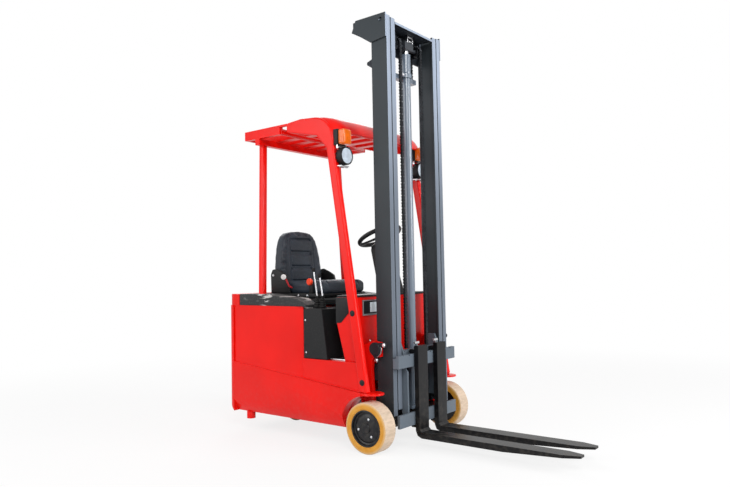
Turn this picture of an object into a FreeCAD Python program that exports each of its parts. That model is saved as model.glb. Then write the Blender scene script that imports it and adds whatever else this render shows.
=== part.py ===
"""Three-wheel electric forklift truck, millimetres, X forward, Y left, Z up, ground at Z = 0.

Pieces are drawn with X = 0 at the front axle. put() moves them so that the origin lies on the
ground in the middle of the truck's length.
"""
import FreeCAD, Part
import math
import os

V = FreeCAD.Vector

# Whole truck
rear_reach = 1160.0           # rear face behind the front axle
tyre_half_width = 454.0       # outer faces of the front tyres

# Front wheels and axle
front_wheel_r = 142.5
front_wheel_width = 100.0
front_rim_r = 102.0
tyre_shoulder = 9.0
rim_dish = 17.0
rim_boss_r = 55.0
hub_bore_r = 22.0
axle_fit = 0.05               # radial clearance of the hub on its stub
axle_beam_half = 330.0
axle_beam_z0 = 112.0
axle_beam_z1 = 172.0
axle_beam_front = 36.0

# Drive unit and drive wheel under the rear
drive_x = -950.0
drive_wheel_r = 125.0
drive_wheel_width = 76.0
drive_hub_r = 78.0
drive_shaft_r = 18.0
drive_turn_r = 128.0          # turntable flange
drive_motor_r = 84.0
drive_motor_top = 690.0
drive_plate_z = 430.0         # underside of the plate that carries the turntable

# Chassis and body
body_bottom = 120.0
body_top = 812.0
bulkhead_x = -108.0           # front face of the bulkhead behind the mast
plate = 12.0                  # thickness of the main steel plates
floor_z = 500.0
seat_base_x = -485.0          # front of the seat base, rear of the foot well
drive_wall_x = -796.0         # wall between battery and drive unit
side_outer = 450.0            # lower side band
side_wall = 50.0
side_upper = 442.0            # upper side panel
upper_wall = 24.0
sill_face = 436.0
crease_rear_z = 449.0         # crease height at the rear face
crease_front_z = 335.0        # crease height at the front axle
bottom_bevel_z = 75.0
bottom_bevel_y = 42.0
arch_r = 178.0
arch_rim = 18.0               # flange round the wheel arch
arch_rim_proud = 3.0
arch_rim_front = -30.0
fender_top = 350.0
fender_t = 10.0
liner_t = 6.0
fender_front = 137.0
fender_rear = -10.0
panel_front = 20.0             # front end of the lower side band
weight_front = -1100.0        # front face of the rear counterweight
weight_top = 885.0
weight_lip_front = -1050.0
weight_corner_r = 55.0
weight_heel = 60.0            # bevel under the rear edge
foot_x = -1000.0
foot_y = 392.0
foot_r = 28.0
foot_bottom = 75.0
battery_gap = 8.0
battery_top = 700.0

# Battery hood and seat
hood_half = 330.0
hood_gap = 5.0
hood_front = -490.0
hood_rear = -1042.0
hinge_x = -1038.0
hood_top = 852.0
hood_skin = 5.0
hinge_z = 866.0
hinge_pin_r = 5.0
hinge_y = 230.0               # middle of each hinge
hinge_half = 25.0
hinge_ear = 6.0
cover_rear_z = 886.0
cover_front_z = 858.0
cover_nose_x = -446.0
cover_nose_z = 822.0
seat_mount_h = 18.0
cushion_half = 235.0
cushion_rear = -905.0
cushion_front = -500.0
cushion_top = 965.0
back_half_low = 240.0
back_half_high = 185.0
back_bottom = 905.0
back_top = 1320.0
back_front_x = -880.0
back_t = 85.0
back_lean = 4.0               # degrees

# Foot well, cowl, steering
console_front_low = -290.0
console_front_high = -330.0
console_inner = 290.0
console_top = 800.0
lever_y = -380.0
lever_rod = 9.0
levers_x_top_lean = ((-412.0, 1020.0, -26.0), (-364.0, 980.0, -20.0))
boot_half = 22.0
boot_ribs = 5
boot_pitch = 14.5
cowl_front = -100.0
cowl_rear = -232.0
cowl_half = 412.0
cowl_top = 868.0
cowl_wall = 10.0
dash_bottom = 720.0
pad_t = 12.0
wheel_centre = V(-248.0, 50.0, 1222.0)
wheel_lean = 19.0             # degrees from vertical, top to the rear
steer_wheel_r = 150.0
steer_rim_r = 13.0
steer_rim_sides = 36
steer_hub_r = 34.0
steer_hub_h = 40.0
column_h_half = ((-60, 58), (60, 54), (200, 42))
column_top_half = 24.0

# Overhead guard
leg_depth = 55.0
leg_width = 38.0
leg_mid_x = -81.0             # leg's middle at leg_mid_z
leg_mid_z = 780.0
leg_slope = 0.155             # forward per unit down
guard_top = 1952.0
rear_leg = 40.0
rear_leg_y = 395.0
rear_leg_low_x = -890.0
rear_leg_high_x = -866.0
arm_rear = -590.0
roof_rear = -985.0
roof_gap_x = -660.0           # front end of the rear roof panel
rail_h = 58.0
rail_t = 30.0
slat_w = 60.0
slat_h = 40.0
slat_pitch = 130.0
slats_each_side = 2

# Mast
mast_front = 84.0
rail_depth = 113.0
mast_half = 293.0
rail_flange = 39.0            # outer rail, measured across the truck
rail_web = 12.0
flange_t = 15.0
mast_bottom = 190.0
mast_top = 2520.0
rail_gap = 6.0                # between outer and inner rail
inner_flange = 43.0
inner_web = 10.0
inner_flange_t = 14.0
inner_bottom = 220.0
inner_top = 2515.0
roller_play = 1.0
pivot_x = -26.0
pivot_z = 571.0
pivot_r = 25.0
pivot_fit = 0.1
stanchion_y = 300.0
stanchion_t = 25.0
trunnion_cap_r = 45.0
tie_t = 20.0
cylinder_x = 16.0
cylinder_r = 27.0
cylinder_wall = 5.0
cylinder_head_r = 30.0
cylinder_top = 2360.0
cylinder_head_h = 110.0
rod_r = 18.0
rod_top = 2405.0
rod_bottom = 300.0
gland_fit = 0.3
sheave_x = 16.0
sheave_z = 2405.0
sheave_pitch_r = 35.0
sheave_width = 26.0
sheave_pin_r = 12.0
chain_y = 110.0
chain_width = 22.0
chain_depth = 14.0
chain_anchor_z = 2230.0

# Carriage and forks, class 2
bar_front = 133.0
bar_half = 307.0
bar_h = 73.0
upper_bar_t = 40.0
lower_bar_t = 16.0
roller_stud = 22.0            # square stud that carries a guide roller
lower_bar_z = 127.0
carriage_h = 407.0
side_plate_y = 200.0
side_plate_t = 14.0
fork_t = 30.0
blade_t = 35.0
fork_w = 99.0
fork_y = 102.5
fork_bottom = 51.0
fork_length = 930.0
fork_top = 580.0
tip_t = 12.0
slip = 0.3                    # between pieces that slide on each other

# Tilt cylinders
tilt_y = 200.0
tilt_z = 250.0
tilt_anchor_x = -400.0
tilt_eye_x = -75.0
tilt_barrel_r = 27.0
tilt_rod_r = 13.0
tilt_pin_r = 10.0
tilt_eye_r = 22.0
tilt_lug_gap = 18.0
tilt_lug_t = 8.0

crease_slope = (crease_rear_z - crease_front_z) / rear_reach
front_axle_x = (rear_reach - (bar_front + fork_t + fork_length)) / 2.0
SIDES = (-1, 1)

os.makedirs("parts", exist_ok=True)


def put(name, *shapes):
    """Write one node. Its solids stay separate."""
    shape = shapes[0] if len(shapes) == 1 else Part.makeCompound(list(shapes))
    shape = shape.copy()
    shape.translate(V(front_axle_x, 0, 0))
    shape.exportStep("parts/" + name + ".step")


def box(x0, x1, y0, y1, z0, z1):
    low = V(min(x0, x1), min(y0, y1), min(z0, z1))
    return Part.makeBox(abs(x1 - x0), abs(y1 - y0), abs(z1 - z0), low)


def side_box(side, x0, x1, y0, y1, z0, z1):
    """A box between two distances from the truck's middle plane."""
    return box(x0, x1, side * y0, side * y1, z0, z1)


def rod(r, start, end):
    return Part.makeCylinder(r, (end - start).Length, start, end - start)


def across(r, side, x, z, y0, y1):
    """A round bar along Y between two distances from the middle plane."""
    return rod(r, V(x, side * y0, z), V(x, side * y1, z))


def fuse(first, *rest):
    return first.fuse(list(rest)).removeSplitter()


def face_of(points, place):
    wire = Part.makePolygon([place(a, b) for a, b in points + points[:1]])
    return Part.Face(wire)


def plate_xz(points, y0, y1):
    """Outline in X and Z, thickness from y0 to y1."""
    return face_of(points, lambda a, b: V(a, y0, b)).extrude(V(0, y1 - y0, 0))


def plate_xy(points, z0, z1):
    return face_of(points, lambda a, b: V(a, b, z0)).extrude(V(0, 0, z1 - z0))


def plate_yz(points, x0, x1):
    return face_of(points, lambda a, b: V(x0, a, b)).extrude(V(x1 - x0, 0, 0))


def turned(points, centre, axis, side_dir):
    """Solid of revolution: points are (radius, distance along the axis)."""
    axis = V(axis).normalize()
    side_dir = V(side_dir).normalize()
    ring = [centre + side_dir * r + axis * h for r, h in points + points[:1]]
    return Part.Face(Part.makePolygon(ring)).revolve(centre, axis, 360)


def turned_y(points, side, x, z):
    """Revolution about a Y axis: points are (radius, distance from the middle plane)."""
    return turned([(r, side * y) for r, y in points], V(x, 0, z), V(0, 1, 0), V(1, 0, 0))


def ring_prism(r_out, r_in, half, sides):
    """A flat-sided ring about Z, from -half to half."""
    angles = [2 * math.pi * k / sides for k in range(sides)]
    outer, inner = [plate_xy([(r * math.cos(a), r * math.sin(a)) for a in angles], -half, half) for r in (r_out, r_in)]
    return outer.cut(inner)


def rounded(shape, radius, keep):
    """Round the edges for which keep(edge) is true."""
    edges = [e for e in shape.Edges if keep(e)]
    return shape.makeFillet(radius, edges)


def bevelled(shape, size, keep):
    """Bevel the edges for which keep(edge) is true."""
    edges = [e for e in shape.Edges if keep(e)]
    return shape.makeChamfer(size, edges)


def loft(sections):
    """Solid with flat sides through parallel outlines of one form, each a list of corners."""
    faces = [Part.Face(Part.makePolygon(corners + corners[:1])) for corners in (sections[0], sections[-1])]
    for low, high in zip(sections, sections[1:]):
        for k, corner in enumerate(low):
            after = (k + 1) % len(low)
            faces.append(Part.Face(Part.makePolygon([corner, low[after], high[after], high[k], corner])))
    solid = Part.Solid(Part.Shell(faces))
    if solid.Volume < 0:
        solid.reverse()
    return solid


def along(edge, axis):
    """True for a straight edge along X, Y or Z."""
    if len(edge.Vertexes) != 2:
        return False
    d = edge.Vertexes[1].Point - edge.Vertexes[0].Point
    others = [v for k, v in enumerate((d.x, d.y, d.z)) if k != "XYZ".index(axis)]
    return max(abs(v) for v in others) < 1e-6


def crease_z(x):
    """Height of the sloping crease on the side."""
    return crease_front_z - crease_slope * x


def leg_front_x(z):
    return leg_mid_x + leg_depth / 2 - leg_slope * (z - leg_mid_z)


def leg_rear_x(z):
    return leg_front_x(z) - leg_depth


def leg_foot_z(x_at_ground):
    """Where a line with the leg's slope meets the crease."""
    return (crease_front_z - crease_slope * x_at_ground) / (1 - crease_slope * leg_slope)


# Front wheels
def front_wheels():
    y_out = tyre_half_width
    y_in = y_out - front_wheel_width
    mid = (y_out + y_in) / 2
    tyre = [(front_rim_r, y_in), (front_wheel_r, y_in), (front_wheel_r, y_out - tyre_shoulder),
            (front_wheel_r - tyre_shoulder, y_out), (front_rim_r, y_out)]
    bore = hub_bore_r + axle_fit
    rim = [(bore, y_in + rim_dish), (front_rim_r, y_in + rim_dish), (front_rim_r, y_out - rim_dish),
           (rim_boss_r, y_out - rim_dish), (rim_boss_r, y_out - 4), (bore, y_out - 4)]
    for side, name in zip(SIDES, ("right", "left")):
        put("front_tyre_" + name, turned_y(tyre, side, 0, front_wheel_r))
        put("front_rim_" + name, turned_y(rim, side, 0, front_wheel_r))
    beam = box(bulkhead_x - plate, axle_beam_front, -axle_beam_half, axle_beam_half, axle_beam_z0, axle_beam_z1)
    stubs = [across(hub_bore_r, s, 0, front_wheel_r, axle_beam_half - 10, mid + 25) for s in SIDES]
    put("front_axle", fuse(beam, *stubs))


# Chassis frame: beams, floor, walls and trays of steel plate
def chassis_frame():
    inner = side_outer - side_wall
    upper_inner = side_upper - upper_wall
    bulkhead = box(bulkhead_x - plate, bulkhead_x, -inner, inner, axle_beam_z1, floor_z)
    for side in SIDES:
        bulkhead = bulkhead.cut(side_box(side, bulkhead_x - 20, bulkhead_x + 1, tilt_y - 36, tilt_y + 36,
                                         tilt_z - 48, tilt_z + 48))
    floor = box(seat_base_x, bulkhead_x, -upper_inner, upper_inner, floor_z - plate, floor_z)
    seat_wall = box(seat_base_x - plate, seat_base_x, -inner, inner, body_bottom, body_top - plate)
    tray = box(drive_wall_x - plate, seat_base_x, -inner, inner, body_bottom, body_bottom + plate)
    drive_wall = box(drive_wall_x - plate, drive_wall_x, -inner, inner, body_bottom, body_top - plate)
    drive_plate = box(weight_front, drive_wall_x, -inner, inner, drive_plate_z, drive_plate_z + plate)
    drive_plate = drive_plate.cut(Part.makeCylinder(drive_motor_r + 8, 60, V(drive_x, 0, drive_plate_z - 20)))
    pieces = [floor, seat_wall, tray, drive_wall, drive_plate]
    for side in SIDES:
        pieces.append(side_box(side, weight_front, bulkhead_x, inner - plate, inner, body_bottom, body_bottom + 90))
        pieces.append(side_box(side, weight_front, seat_base_x, hood_half + 10, upper_inner, body_top - plate, body_top))
        pieces.append(side_box(side, weight_front, drive_wall_x, inner - plate, inner, body_bottom, body_top - plate))
        pieces.append(side_box(side, foot_x - 45, foot_x + 45, foot_y - 34, inner, body_bottom, body_bottom + plate))
        for k in (-1, 1):
            lug = tilt_y + k * (tilt_lug_gap + tilt_lug_t) / 2 + k * 3
            outline = [(seat_base_x, tilt_z - 45), (tilt_anchor_x + 22, tilt_z - 22),
                       (tilt_anchor_x + 22, tilt_z + 22), (seat_base_x, tilt_z + 45)]
            y0 = side * (lug - tilt_lug_t / 2)
            y1 = side * (lug + tilt_lug_t / 2)
            pieces.append(plate_xz(outline, y0, y1))
        pieces.append(across(tilt_pin_r, side, tilt_anchor_x, tilt_z, tilt_y - 16, tilt_y + 16))
    frame = fuse(bulkhead, *pieces)
    for side in SIDES:
        frame = frame.cut(across(arch_r + liner_t, side, 0, front_wheel_r, axle_beam_half + 4, side_outer))
    put("chassis_frame", frame)
    half = inner - plate - battery_gap
    put("battery_block", box(drive_wall_x + battery_gap, seat_base_x - plate - battery_gap,
                             -half, half, body_bottom + plate, battery_top))


# Side panels with the long crease, bottom bevel, foot well and wheel arch
def side_panels():
    for side, name in zip(SIDES, ("right", "left")):
        inner = side_outer - side_wall
        upper_inner = side_upper - upper_wall
        arch = across(arch_r, side, 0, front_wheel_r, inner - 10, side_outer + 10)
        low = plate_xz([(weight_front, body_bottom), (0, body_bottom), (panel_front, crease_z(panel_front)),
                        (weight_front, crease_z(weight_front))], side * inner, side * side_outer)
        bevel = [(side * (side_outer - bottom_bevel_y), body_bottom), (side * (side_outer + 1), body_bottom),
                 (side * (side_outer + 1), body_bottom + bottom_bevel_z + 2), (side * side_outer, body_bottom + bottom_bevel_z)]
        low = low.cut(plate_yz(bevel, weight_front - 1, panel_front + 1)).cut(arch)
        top = plate_xz([(weight_front, crease_z(weight_front)), (seat_base_x, crease_z(seat_base_x)),
                        (seat_base_x, body_top), (weight_front, body_top)], side * upper_inner, side * side_upper)
        turn_in = [(seat_base_x - 62, side * side_upper), (seat_base_x + 1, side * (side_upper - 15)),
                   (seat_base_x + 1, side * (side_upper + 1)), (seat_base_x - 62, side * (side_upper + 1))]
        top = top.cut(plate_xy(turn_in, 300, body_top + 1))
        foot_z = leg_foot_z(leg_rear_x(0))
        sill = plate_xz([(seat_base_x, crease_z(seat_base_x)), (leg_rear_x(foot_z), foot_z),
                         (leg_rear_x(floor_z), floor_z), (seat_base_x, floor_z)], side * upper_inner, side * sill_face)
        rim = across(arch_r + arch_rim, side, 0, front_wheel_r, side_outer - 10, side_outer + arch_rim_proud)
        rim = rim.cut(across(arch_r, side, 0, front_wheel_r, side_outer - 11, side_outer + arch_rim_proud + 1))
        reach = arch_r + arch_rim + 1
        rim = rim.common(side_box(side, -reach, arch_rim_front, 0, side_outer + 10, body_bottom + bottom_bevel_z, fender_top))
        put("side_panel_" + name, fuse(low, top, sill, rim))


# Rear counterweight with a raised lip behind the hood
def counterweight():
    block = box(-rear_reach, weight_front, -side_outer, side_outer, body_bottom, body_top)
    block = rounded(block, weight_corner_r,
                    lambda e: along(e, "Z") and e.BoundBox.XMax < -rear_reach + 1)
    heel = [(-rear_reach - 1, body_bottom - 1), (-rear_reach + weight_heel, body_bottom - 1),
            (-rear_reach - 1, body_bottom + weight_heel)]
    block = block.cut(plate_xz(heel, -side_outer, side_outer))
    lip = box(-rear_reach, weight_lip_front, -side_upper, side_upper, body_top, weight_top)
    lip = rounded(lip, weight_corner_r,
                  lambda e: along(e, "Z") and e.BoundBox.XMax < -rear_reach + 1)
    ears = []
    for side in SIDES:
        for y0 in (hinge_y - hinge_half, hinge_y + hinge_half - hinge_ear):
            ears.append(side_box(side, weight_lip_front - 1, hinge_x + 9, y0, y0 + hinge_ear, hinge_z - 9, hinge_z + 9))
        ears.append(across(hinge_pin_r, side, hinge_x, hinge_z, hinge_y - hinge_half, hinge_y + hinge_half))
    put("counterweight", fuse(block, lip, *ears))
    feet = [Part.makeCylinder(foot_r, body_bottom - foot_bottom, V(foot_x, s * foot_y, foot_bottom)) for s in SIDES]
    put("rear_feet", *feet)


# Fixed covers beside the hood, with square holes for the guard's rear legs
def hood_covers():
    covers = []
    for side in SIDES:
        outline = [(weight_lip_front + 3, body_top), (seat_base_x, body_top), (cover_nose_x, console_top),
                   (cover_nose_x, cover_nose_z), (-520, cover_front_z), (-800, cover_rear_z),
                   (weight_lip_front + 3, cover_rear_z)]
        cover = plate_xz(outline, side * (hood_half + hood_gap), side * (side_upper + 2))
        hole = rear_leg / 2 + 1
        cover = cover.cut(side_box(side, rear_leg_low_x - hole - 2, rear_leg_low_x + hole + 4, rear_leg_y - hole,
                                   rear_leg_y + hole, body_top - 1, cover_rear_z + 1))
        covers.append(cover)
    put("hood_side_covers", *covers)


# Battery hood and seat
def hood_and_seat():
    lid = box(hood_rear, hood_front, -hood_half, hood_half, body_top + slip, hood_top)
    lid = bevelled(lid, 10, lambda e: e.BoundBox.ZMin > hood_top - 1)
    lid = lid.cut(box(hood_rear + hood_skin, hood_front - hood_skin, -hood_half + hood_skin,
                      hood_half - hood_skin, body_top, hood_top - hood_skin))
    knuckles = []
    for side in SIDES:
        y0 = hinge_y - hinge_half + hinge_ear + slip
        y1 = hinge_y + hinge_half - hinge_ear - slip
        strap = side_box(side, hinge_x, hinge_x + 60, y0, y1, hood_top - hood_skin, hinge_z - hinge_pin_r)
        knuckle = fuse(strap, across(hinge_pin_r + 4, side, hinge_x, hinge_z, y0, y1))
        knuckles.append(knuckle.cut(across(hinge_pin_r + axle_fit, side, hinge_x, hinge_z, y0 - 1, y1 + 1)))
    put("hood", fuse(lid, *knuckles))
    mount_top = hood_top + seat_mount_h
    slides = [side_box(s, cushion_rear + 20, cushion_front - 40, 120, 160, hood_top, mount_top) for s in SIDES]
    pan = box(cushion_rear - 20, cushion_front - 15, -cushion_half + 25, cushion_half - 25, mount_top, mount_top + 8)
    arms = []
    for s in SIDES:
        arm = plate_xz([(cushion_rear - 70, mount_top), (cushion_rear + 30, mount_top), (cushion_rear - 30, back_bottom + 75),
                        (cushion_rear - 70, back_bottom + 75)], s * (cushion_half - 33), s * (cushion_half - 25))
        arms.append(arm)
    put("seat_mount", fuse(slides[0], slides[1], pan, *arms))
    cushion = box(cushion_rear + 32, cushion_front, -cushion_half, cushion_half, mount_top + 8 + slip, cushion_top)
    cushion = bevelled(cushion, 24, lambda e: e.BoundBox.ZMin > cushion_top - 1 or along(e, "Z"))
    put("seat_cushion", cushion)
    outline = [(-back_half_low + 30, back_bottom), (-back_half_low, back_bottom + 60), (-back_half_high, back_top - 60),
               (-back_half_high + 55, back_top), (back_half_high - 55, back_top), (back_half_high, back_top - 60),
               (back_half_low, back_bottom + 60), (back_half_low - 30, back_bottom)]
    back = plate_yz(outline, back_front_x - back_t, back_front_x)
    back = bevelled(back, 16, lambda e: e.BoundBox.XMin > back_front_x - 1)
    for s in SIDES:
        back = back.cut(side_box(s, back_front_x - back_t - 1, back_front_x - 8, cushion_half - 33 - slip,
                                 cushion_half - 25 + slip, back_bottom - 1, back_bottom + 90))
    back.rotate(V(back_front_x - back_t, 0, back_bottom), V(0, 1, 0), -back_lean)
    put("seat_back", back)


# Seat base front panel with the lever console on the right, pedals
def foot_well():
    panel = box(seat_base_x, seat_base_x + 6, -side_upper + upper_wall + 2, side_upper - upper_wall - 2, floor_z, console_top)
    outline = [(seat_base_x + 6, floor_z), (console_front_low, floor_z), (console_front_high, console_top),
               (seat_base_x + 6, console_top)]
    console = plate_xz(outline, -console_inner, -sill_face + 2)
    put("seat_base_panel", fuse(panel, console))
    levers = []
    for x, top, lean in levers_x_top_lean:
        rings = []
        for k in range(boot_ribs):
            z = console_top + boot_pitch * k
            half = boot_half - (boot_half - 9) * k / boot_ribs
            for reach, dz in ((half, 0), (half - 5, boot_pitch / 2)):
                rings.append([V(x + i * reach, lever_y + j * reach, z + dz) for i, j in ((-1, -1), (1, -1), (1, 1), (-1, 1))])
        top_z = rings[-1][0].z
        stem = []
        for centre in (V(x, lever_y, top_z - 10), V(x + lean, lever_y, top)):
            h = lever_rod / 2
            stem.append([centre + V(i * h, j * h, 0) for i, j in ((-1, -1), (1, -1), (1, 1), (-1, 1))])
        levers.append(fuse(loft(rings), loft(stem)))
    put("control_levers", *levers)
    pedals = []
    for y in (-150.0, -250.0):
        arm = plate_xz([(cowl_front - cowl_wall - 70, floor_z + 70), (cowl_front - cowl_wall, floor_z + 150),
                        (cowl_front - cowl_wall, floor_z + 180), (cowl_front - cowl_wall - 90, floor_z + 80)], y - 8, y + 8)
        pad = plate_xz([(cowl_front - cowl_wall - 115, floor_z + 25), (cowl_front - cowl_wall - 60, floor_z + 100),
                        (cowl_front - cowl_wall - 68, floor_z + 106), (cowl_front - cowl_wall - 123, floor_z + 31)], y - 35, y + 35)
        pedals.append(fuse(arm, pad))
    put("pedals", *pedals)


# Front cowl, its black top pad, display frame, steering column
def cowl():
    side_wall_outline = [(cowl_front - cowl_wall, floor_z), (cowl_front - cowl_wall, cowl_top), (cowl_rear, cowl_top),
                         (cowl_rear, dash_bottom), (cowl_rear + 60, floor_z)]
    front = box(cowl_front - cowl_wall, cowl_front, -cowl_half, cowl_half, floor_z, cowl_top)
    top = box(cowl_rear, cowl_front, -cowl_half, cowl_half, cowl_top - cowl_wall, cowl_top)
    back = box(cowl_rear, cowl_rear + cowl_wall, -cowl_half, cowl_half, dash_bottom, cowl_top)
    sides = [plate_xz(side_wall_outline, s * (cowl_half - cowl_wall), s * cowl_half) for s in SIDES]
    shell = fuse(front, top, back, *sides)
    column_axis = V(-math.sin(math.radians(wheel_lean)), 0, math.cos(math.radians(wheel_lean)))
    top_of_column = wheel_centre - column_axis * (steer_hub_h + slip)
    foot = wheel_centre - column_axis * ((wheel_centre.z - cowl_top - pad_t) / column_axis.z)
    put("front_cowl", shell)
    pad = box(cowl_rear - 8, cowl_front + 6, -cowl_half + 14, cowl_half - 14, cowl_top, cowl_top + pad_t)
    pad = rounded(pad, 6, lambda e: e.BoundBox.ZMin > cowl_top + pad_t - 1)
    put("cowl_top_pad", pad)
    frame = box(cowl_front, cowl_front + 8, -330, -190, 765, 845)
    frame = frame.cut(box(cowl_front + 4, cowl_front + 9, -275, -200, 775, 835))
    put("display_frame", frame)
    length = (top_of_column - foot).Length
    lateral = V(0, 1, 0)
    forward = lateral.cross(column_axis)
    sections = []
    corners = ((-1, -0.5), (-0.5, -1), (0.5, -1), (1, -0.5), (1, 0.5), (0.5, 1), (-0.5, 1), (-1, 0.5))
    for h, half in column_h_half + ((length, column_top_half),):
        sections.append([foot + column_axis * h + (forward * i + lateral * j) * half for i, j in corners])
    column = loft(sections)
    below = box(-600, 0, -200, 300, cowl_top - 100, cowl_top + pad_t)
    put("steering_column", column.cut(below))
    rim = ring_prism(steer_wheel_r, steer_wheel_r - 2 * steer_rim_r, steer_rim_r, steer_rim_sides)
    rim = bevelled(rim, steer_rim_r * 0.55, lambda e: abs(e.CenterOfMass.z) > steer_rim_r - 1)
    hub = Part.makeCylinder(steer_hub_r, steer_hub_h, V(0, 0, -steer_hub_h))
    spokes = []
    for k in range(3):
        spoke = box(0, steer_wheel_r - steer_rim_r, -12, 12, -14, -4)
        spoke.rotate(V(0, 0, 0), V(0, 0, 1), 120 * k + 90)
        spokes.append(spoke)
    steer = fuse(rim, hub, *spokes)
    steer.rotate(V(0, 0, 0), V(0, 1, 0), -wheel_lean)
    steer.translate(wheel_centre)
    put("steering_wheel", steer)


# Overhead guard
def guard():
    bend_z = 1770.0
    sides = []
    for side in SIDES:
        y_out = side * side_outer
        y_in = side * (side_outer - leg_width)
        front_z = leg_foot_z(leg_front_x(0))
        rear_z = leg_foot_z(leg_rear_x(0))
        p = [V(leg_front_x(front_z), y_out, front_z), V(leg_front_x(bend_z), y_out, bend_z),
             V(-243, y_out, 1893), V(-350, y_out, guard_top), V(-470, y_out, guard_top + 9), V(arm_rear, y_out, guard_top),
             V(arm_rear, y_out, guard_top - rail_h), V(-336, y_out, 1838), V(leg_rear_x(1756), y_out, 1756),
             V(leg_rear_x(rear_z), y_out, rear_z)]
        edges = [Part.LineSegment(p[0], p[1]).toShape(), Part.Arc(p[1], p[2], p[3]).toShape()]
        for a, b in zip(p[3:], p[4:] + p[:1]):
            edges.append(Part.LineSegment(a, b).toShape())
        sides.append(Part.Face(Part.Wire(edges)).extrude(V(0, y_in - y_out, 0)))
    put("guard_front_sides", *sides)
    arm_in = side_outer - leg_width
    front_plate = box(-246, -190, -arm_in, arm_in, guard_top - 80, guard_top - 18)
    back_bar = box(arm_rear, arm_rear + 12, -arm_in, arm_in, guard_top - rail_h, guard_top - 6)
    pieces = [back_bar]
    for k in range(-slats_each_side, slats_each_side + 1):
        pieces.append(box(arm_rear + 6, -240, k * slat_pitch - slat_w / 2, k * slat_pitch + slat_w / 2,
                          guard_top - slat_h - 22, guard_top - 22))
    put("guard_front_roof", fuse(front_plate, *pieces))
    rail_out = side_outer - 12
    pieces = []
    for side in SIDES:
        pieces.append(side_box(side, roof_rear, roof_gap_x, rail_out - rail_t, rail_out, guard_top - rail_h, guard_top))
        pieces.append(side_box(side, roof_gap_x - 20, arm_rear, rail_out - 16, rail_out, guard_top - 14, guard_top))
    leg_top = guard_top - rail_h
    cross = box(rear_leg_high_x - rear_leg / 2, rear_leg_high_x + rear_leg / 2, -rail_out, rail_out, leg_top - rear_leg, leg_top)
    front_bar = box(roof_gap_x - 12, roof_gap_x, -rail_out, rail_out, guard_top - rail_h, guard_top - 20)
    rear_bar = box(roof_rear, roof_rear + 12, -rail_out, rail_out, guard_top - rail_h, guard_top - 20)
    for k in range(-slats_each_side, slats_each_side + 1):
        pieces.append(box(roof_rear + 6, roof_gap_x - 6, k * slat_pitch - slat_w / 2, k * slat_pitch + slat_w / 2,
                          leg_top - 2, leg_top + slat_h))
    put("guard_rear_roof", fuse(cross, front_bar, rear_bar, *pieces))
    legs = []
    for side in SIDES:
        y0 = side * (rear_leg_y - rear_leg / 2)
        y1 = side * (rear_leg_y + rear_leg / 2)
        outline = [(rear_leg_low_x - rear_leg / 2, body_top), (rear_leg_low_x + rear_leg / 2, body_top),
                   (rear_leg_high_x + rear_leg / 2, leg_top - rear_leg), (rear_leg_high_x - rear_leg / 2, leg_top - rear_leg)]
        legs.append(plate_xz(outline, y0, y1))
    put("guard_rear_legs", *legs)


# Lamps under the guard's front corners
def lamps():
    lamp_y = 352.0
    lamp_z = 1689.0
    housings = []
    lenses = []
    ambers = []
    for side in SIDES:
        centre = V(0, side * lamp_y, lamp_z)
        shell = [(0, -240), (57, -216), (57, -180), (0, -180)]
        body = turned(shell, centre, V(1, 0, 0), V(0, 0, 1))
        strap = box(-246, -238, side * lamp_y - 14, side * lamp_y + 14, lamp_z - 10, guard_top - 80)
        base = side_box(side, -238, -222, lamp_y - 30, lamp_y + 50, 1785, 1860)
        housings.append(fuse(body, strap, base))
        lenses.append(turned([(0, -179.7), (52, -179.7), (52, -173), (0, -173)], centre, V(1, 0, 0), V(0, 0, 1)))
        amber = side_box(side, -222, -166, lamp_y - 28, lamp_y + 48, 1787, 1858)
        ambers.append(rounded(amber, 10, lambda e: e.BoundBox.XMin > -167))
    put("lamp_housings", *housings)
    put("lamp_lenses", *lenses)
    put("indicator_lenses", *ambers)


# Fenders over the front wheels
def fenders():
    result = []
    for side in SIDES:
        inner = side_outer - side_wall
        y0 = axle_beam_half + 4
        outline = [(fender_rear, side * y0), (fender_front, side * y0), (fender_front, side * tyre_half_width),
                   (panel_front, side * tyre_half_width), (panel_front, side * inner), (fender_rear, side * inner)]
        top = plate_xy(outline, fender_top - fender_t, fender_top)
        top = rounded(top, 30, lambda e: along(e, "Z") and e.BoundBox.XMax > fender_front - 1)
        liner = across(arch_r + liner_t, side, 0, front_wheel_r, y0, inner)
        liner = liner.cut(across(arch_r, side, 0, front_wheel_r, y0 - 1, inner + 1))
        liner = liner.common(side_box(side, -400, 0, y0, inner, body_bottom + 20, fender_top - fender_t))
        web = side_box(side, fender_rear, 0, y0, inner, front_wheel_r + arch_r + 1, fender_top - fender_t + 1)
        result.append(fuse(top, web, liner))
    put("front_fenders", *result)


# Trunnion bearings that carry the mast
def trunnions():
    blocks = []
    for side in SIDES:
        y0 = side * stanchion_y
        y1 = side * (stanchion_y + stanchion_t)
        outline = [(bulkhead_x, axle_beam_z1), (-30, axle_beam_z1), (-48, 440), (-40, pivot_z - 55), (pivot_x + 45, pivot_z - 45),
                   (pivot_x + 45, pivot_z + 38), (pivot_x - 10, pivot_z + 45), (cowl_front, pivot_z + 20),
                   (cowl_front, floor_z), (bulkhead_x, floor_z)]
        lug = fuse(plate_xz(outline, y0, y1),
                   across(trunnion_cap_r, side, pivot_x, pivot_z, stanchion_y, stanchion_y + stanchion_t))
        lug = lug.cut(across(pivot_r + pivot_fit, side, pivot_x, pivot_z, stanchion_y - 1, stanchion_y + stanchion_t + 1))
        blocks.append(lug)
    put("trunnion_bearings", *blocks)


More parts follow.
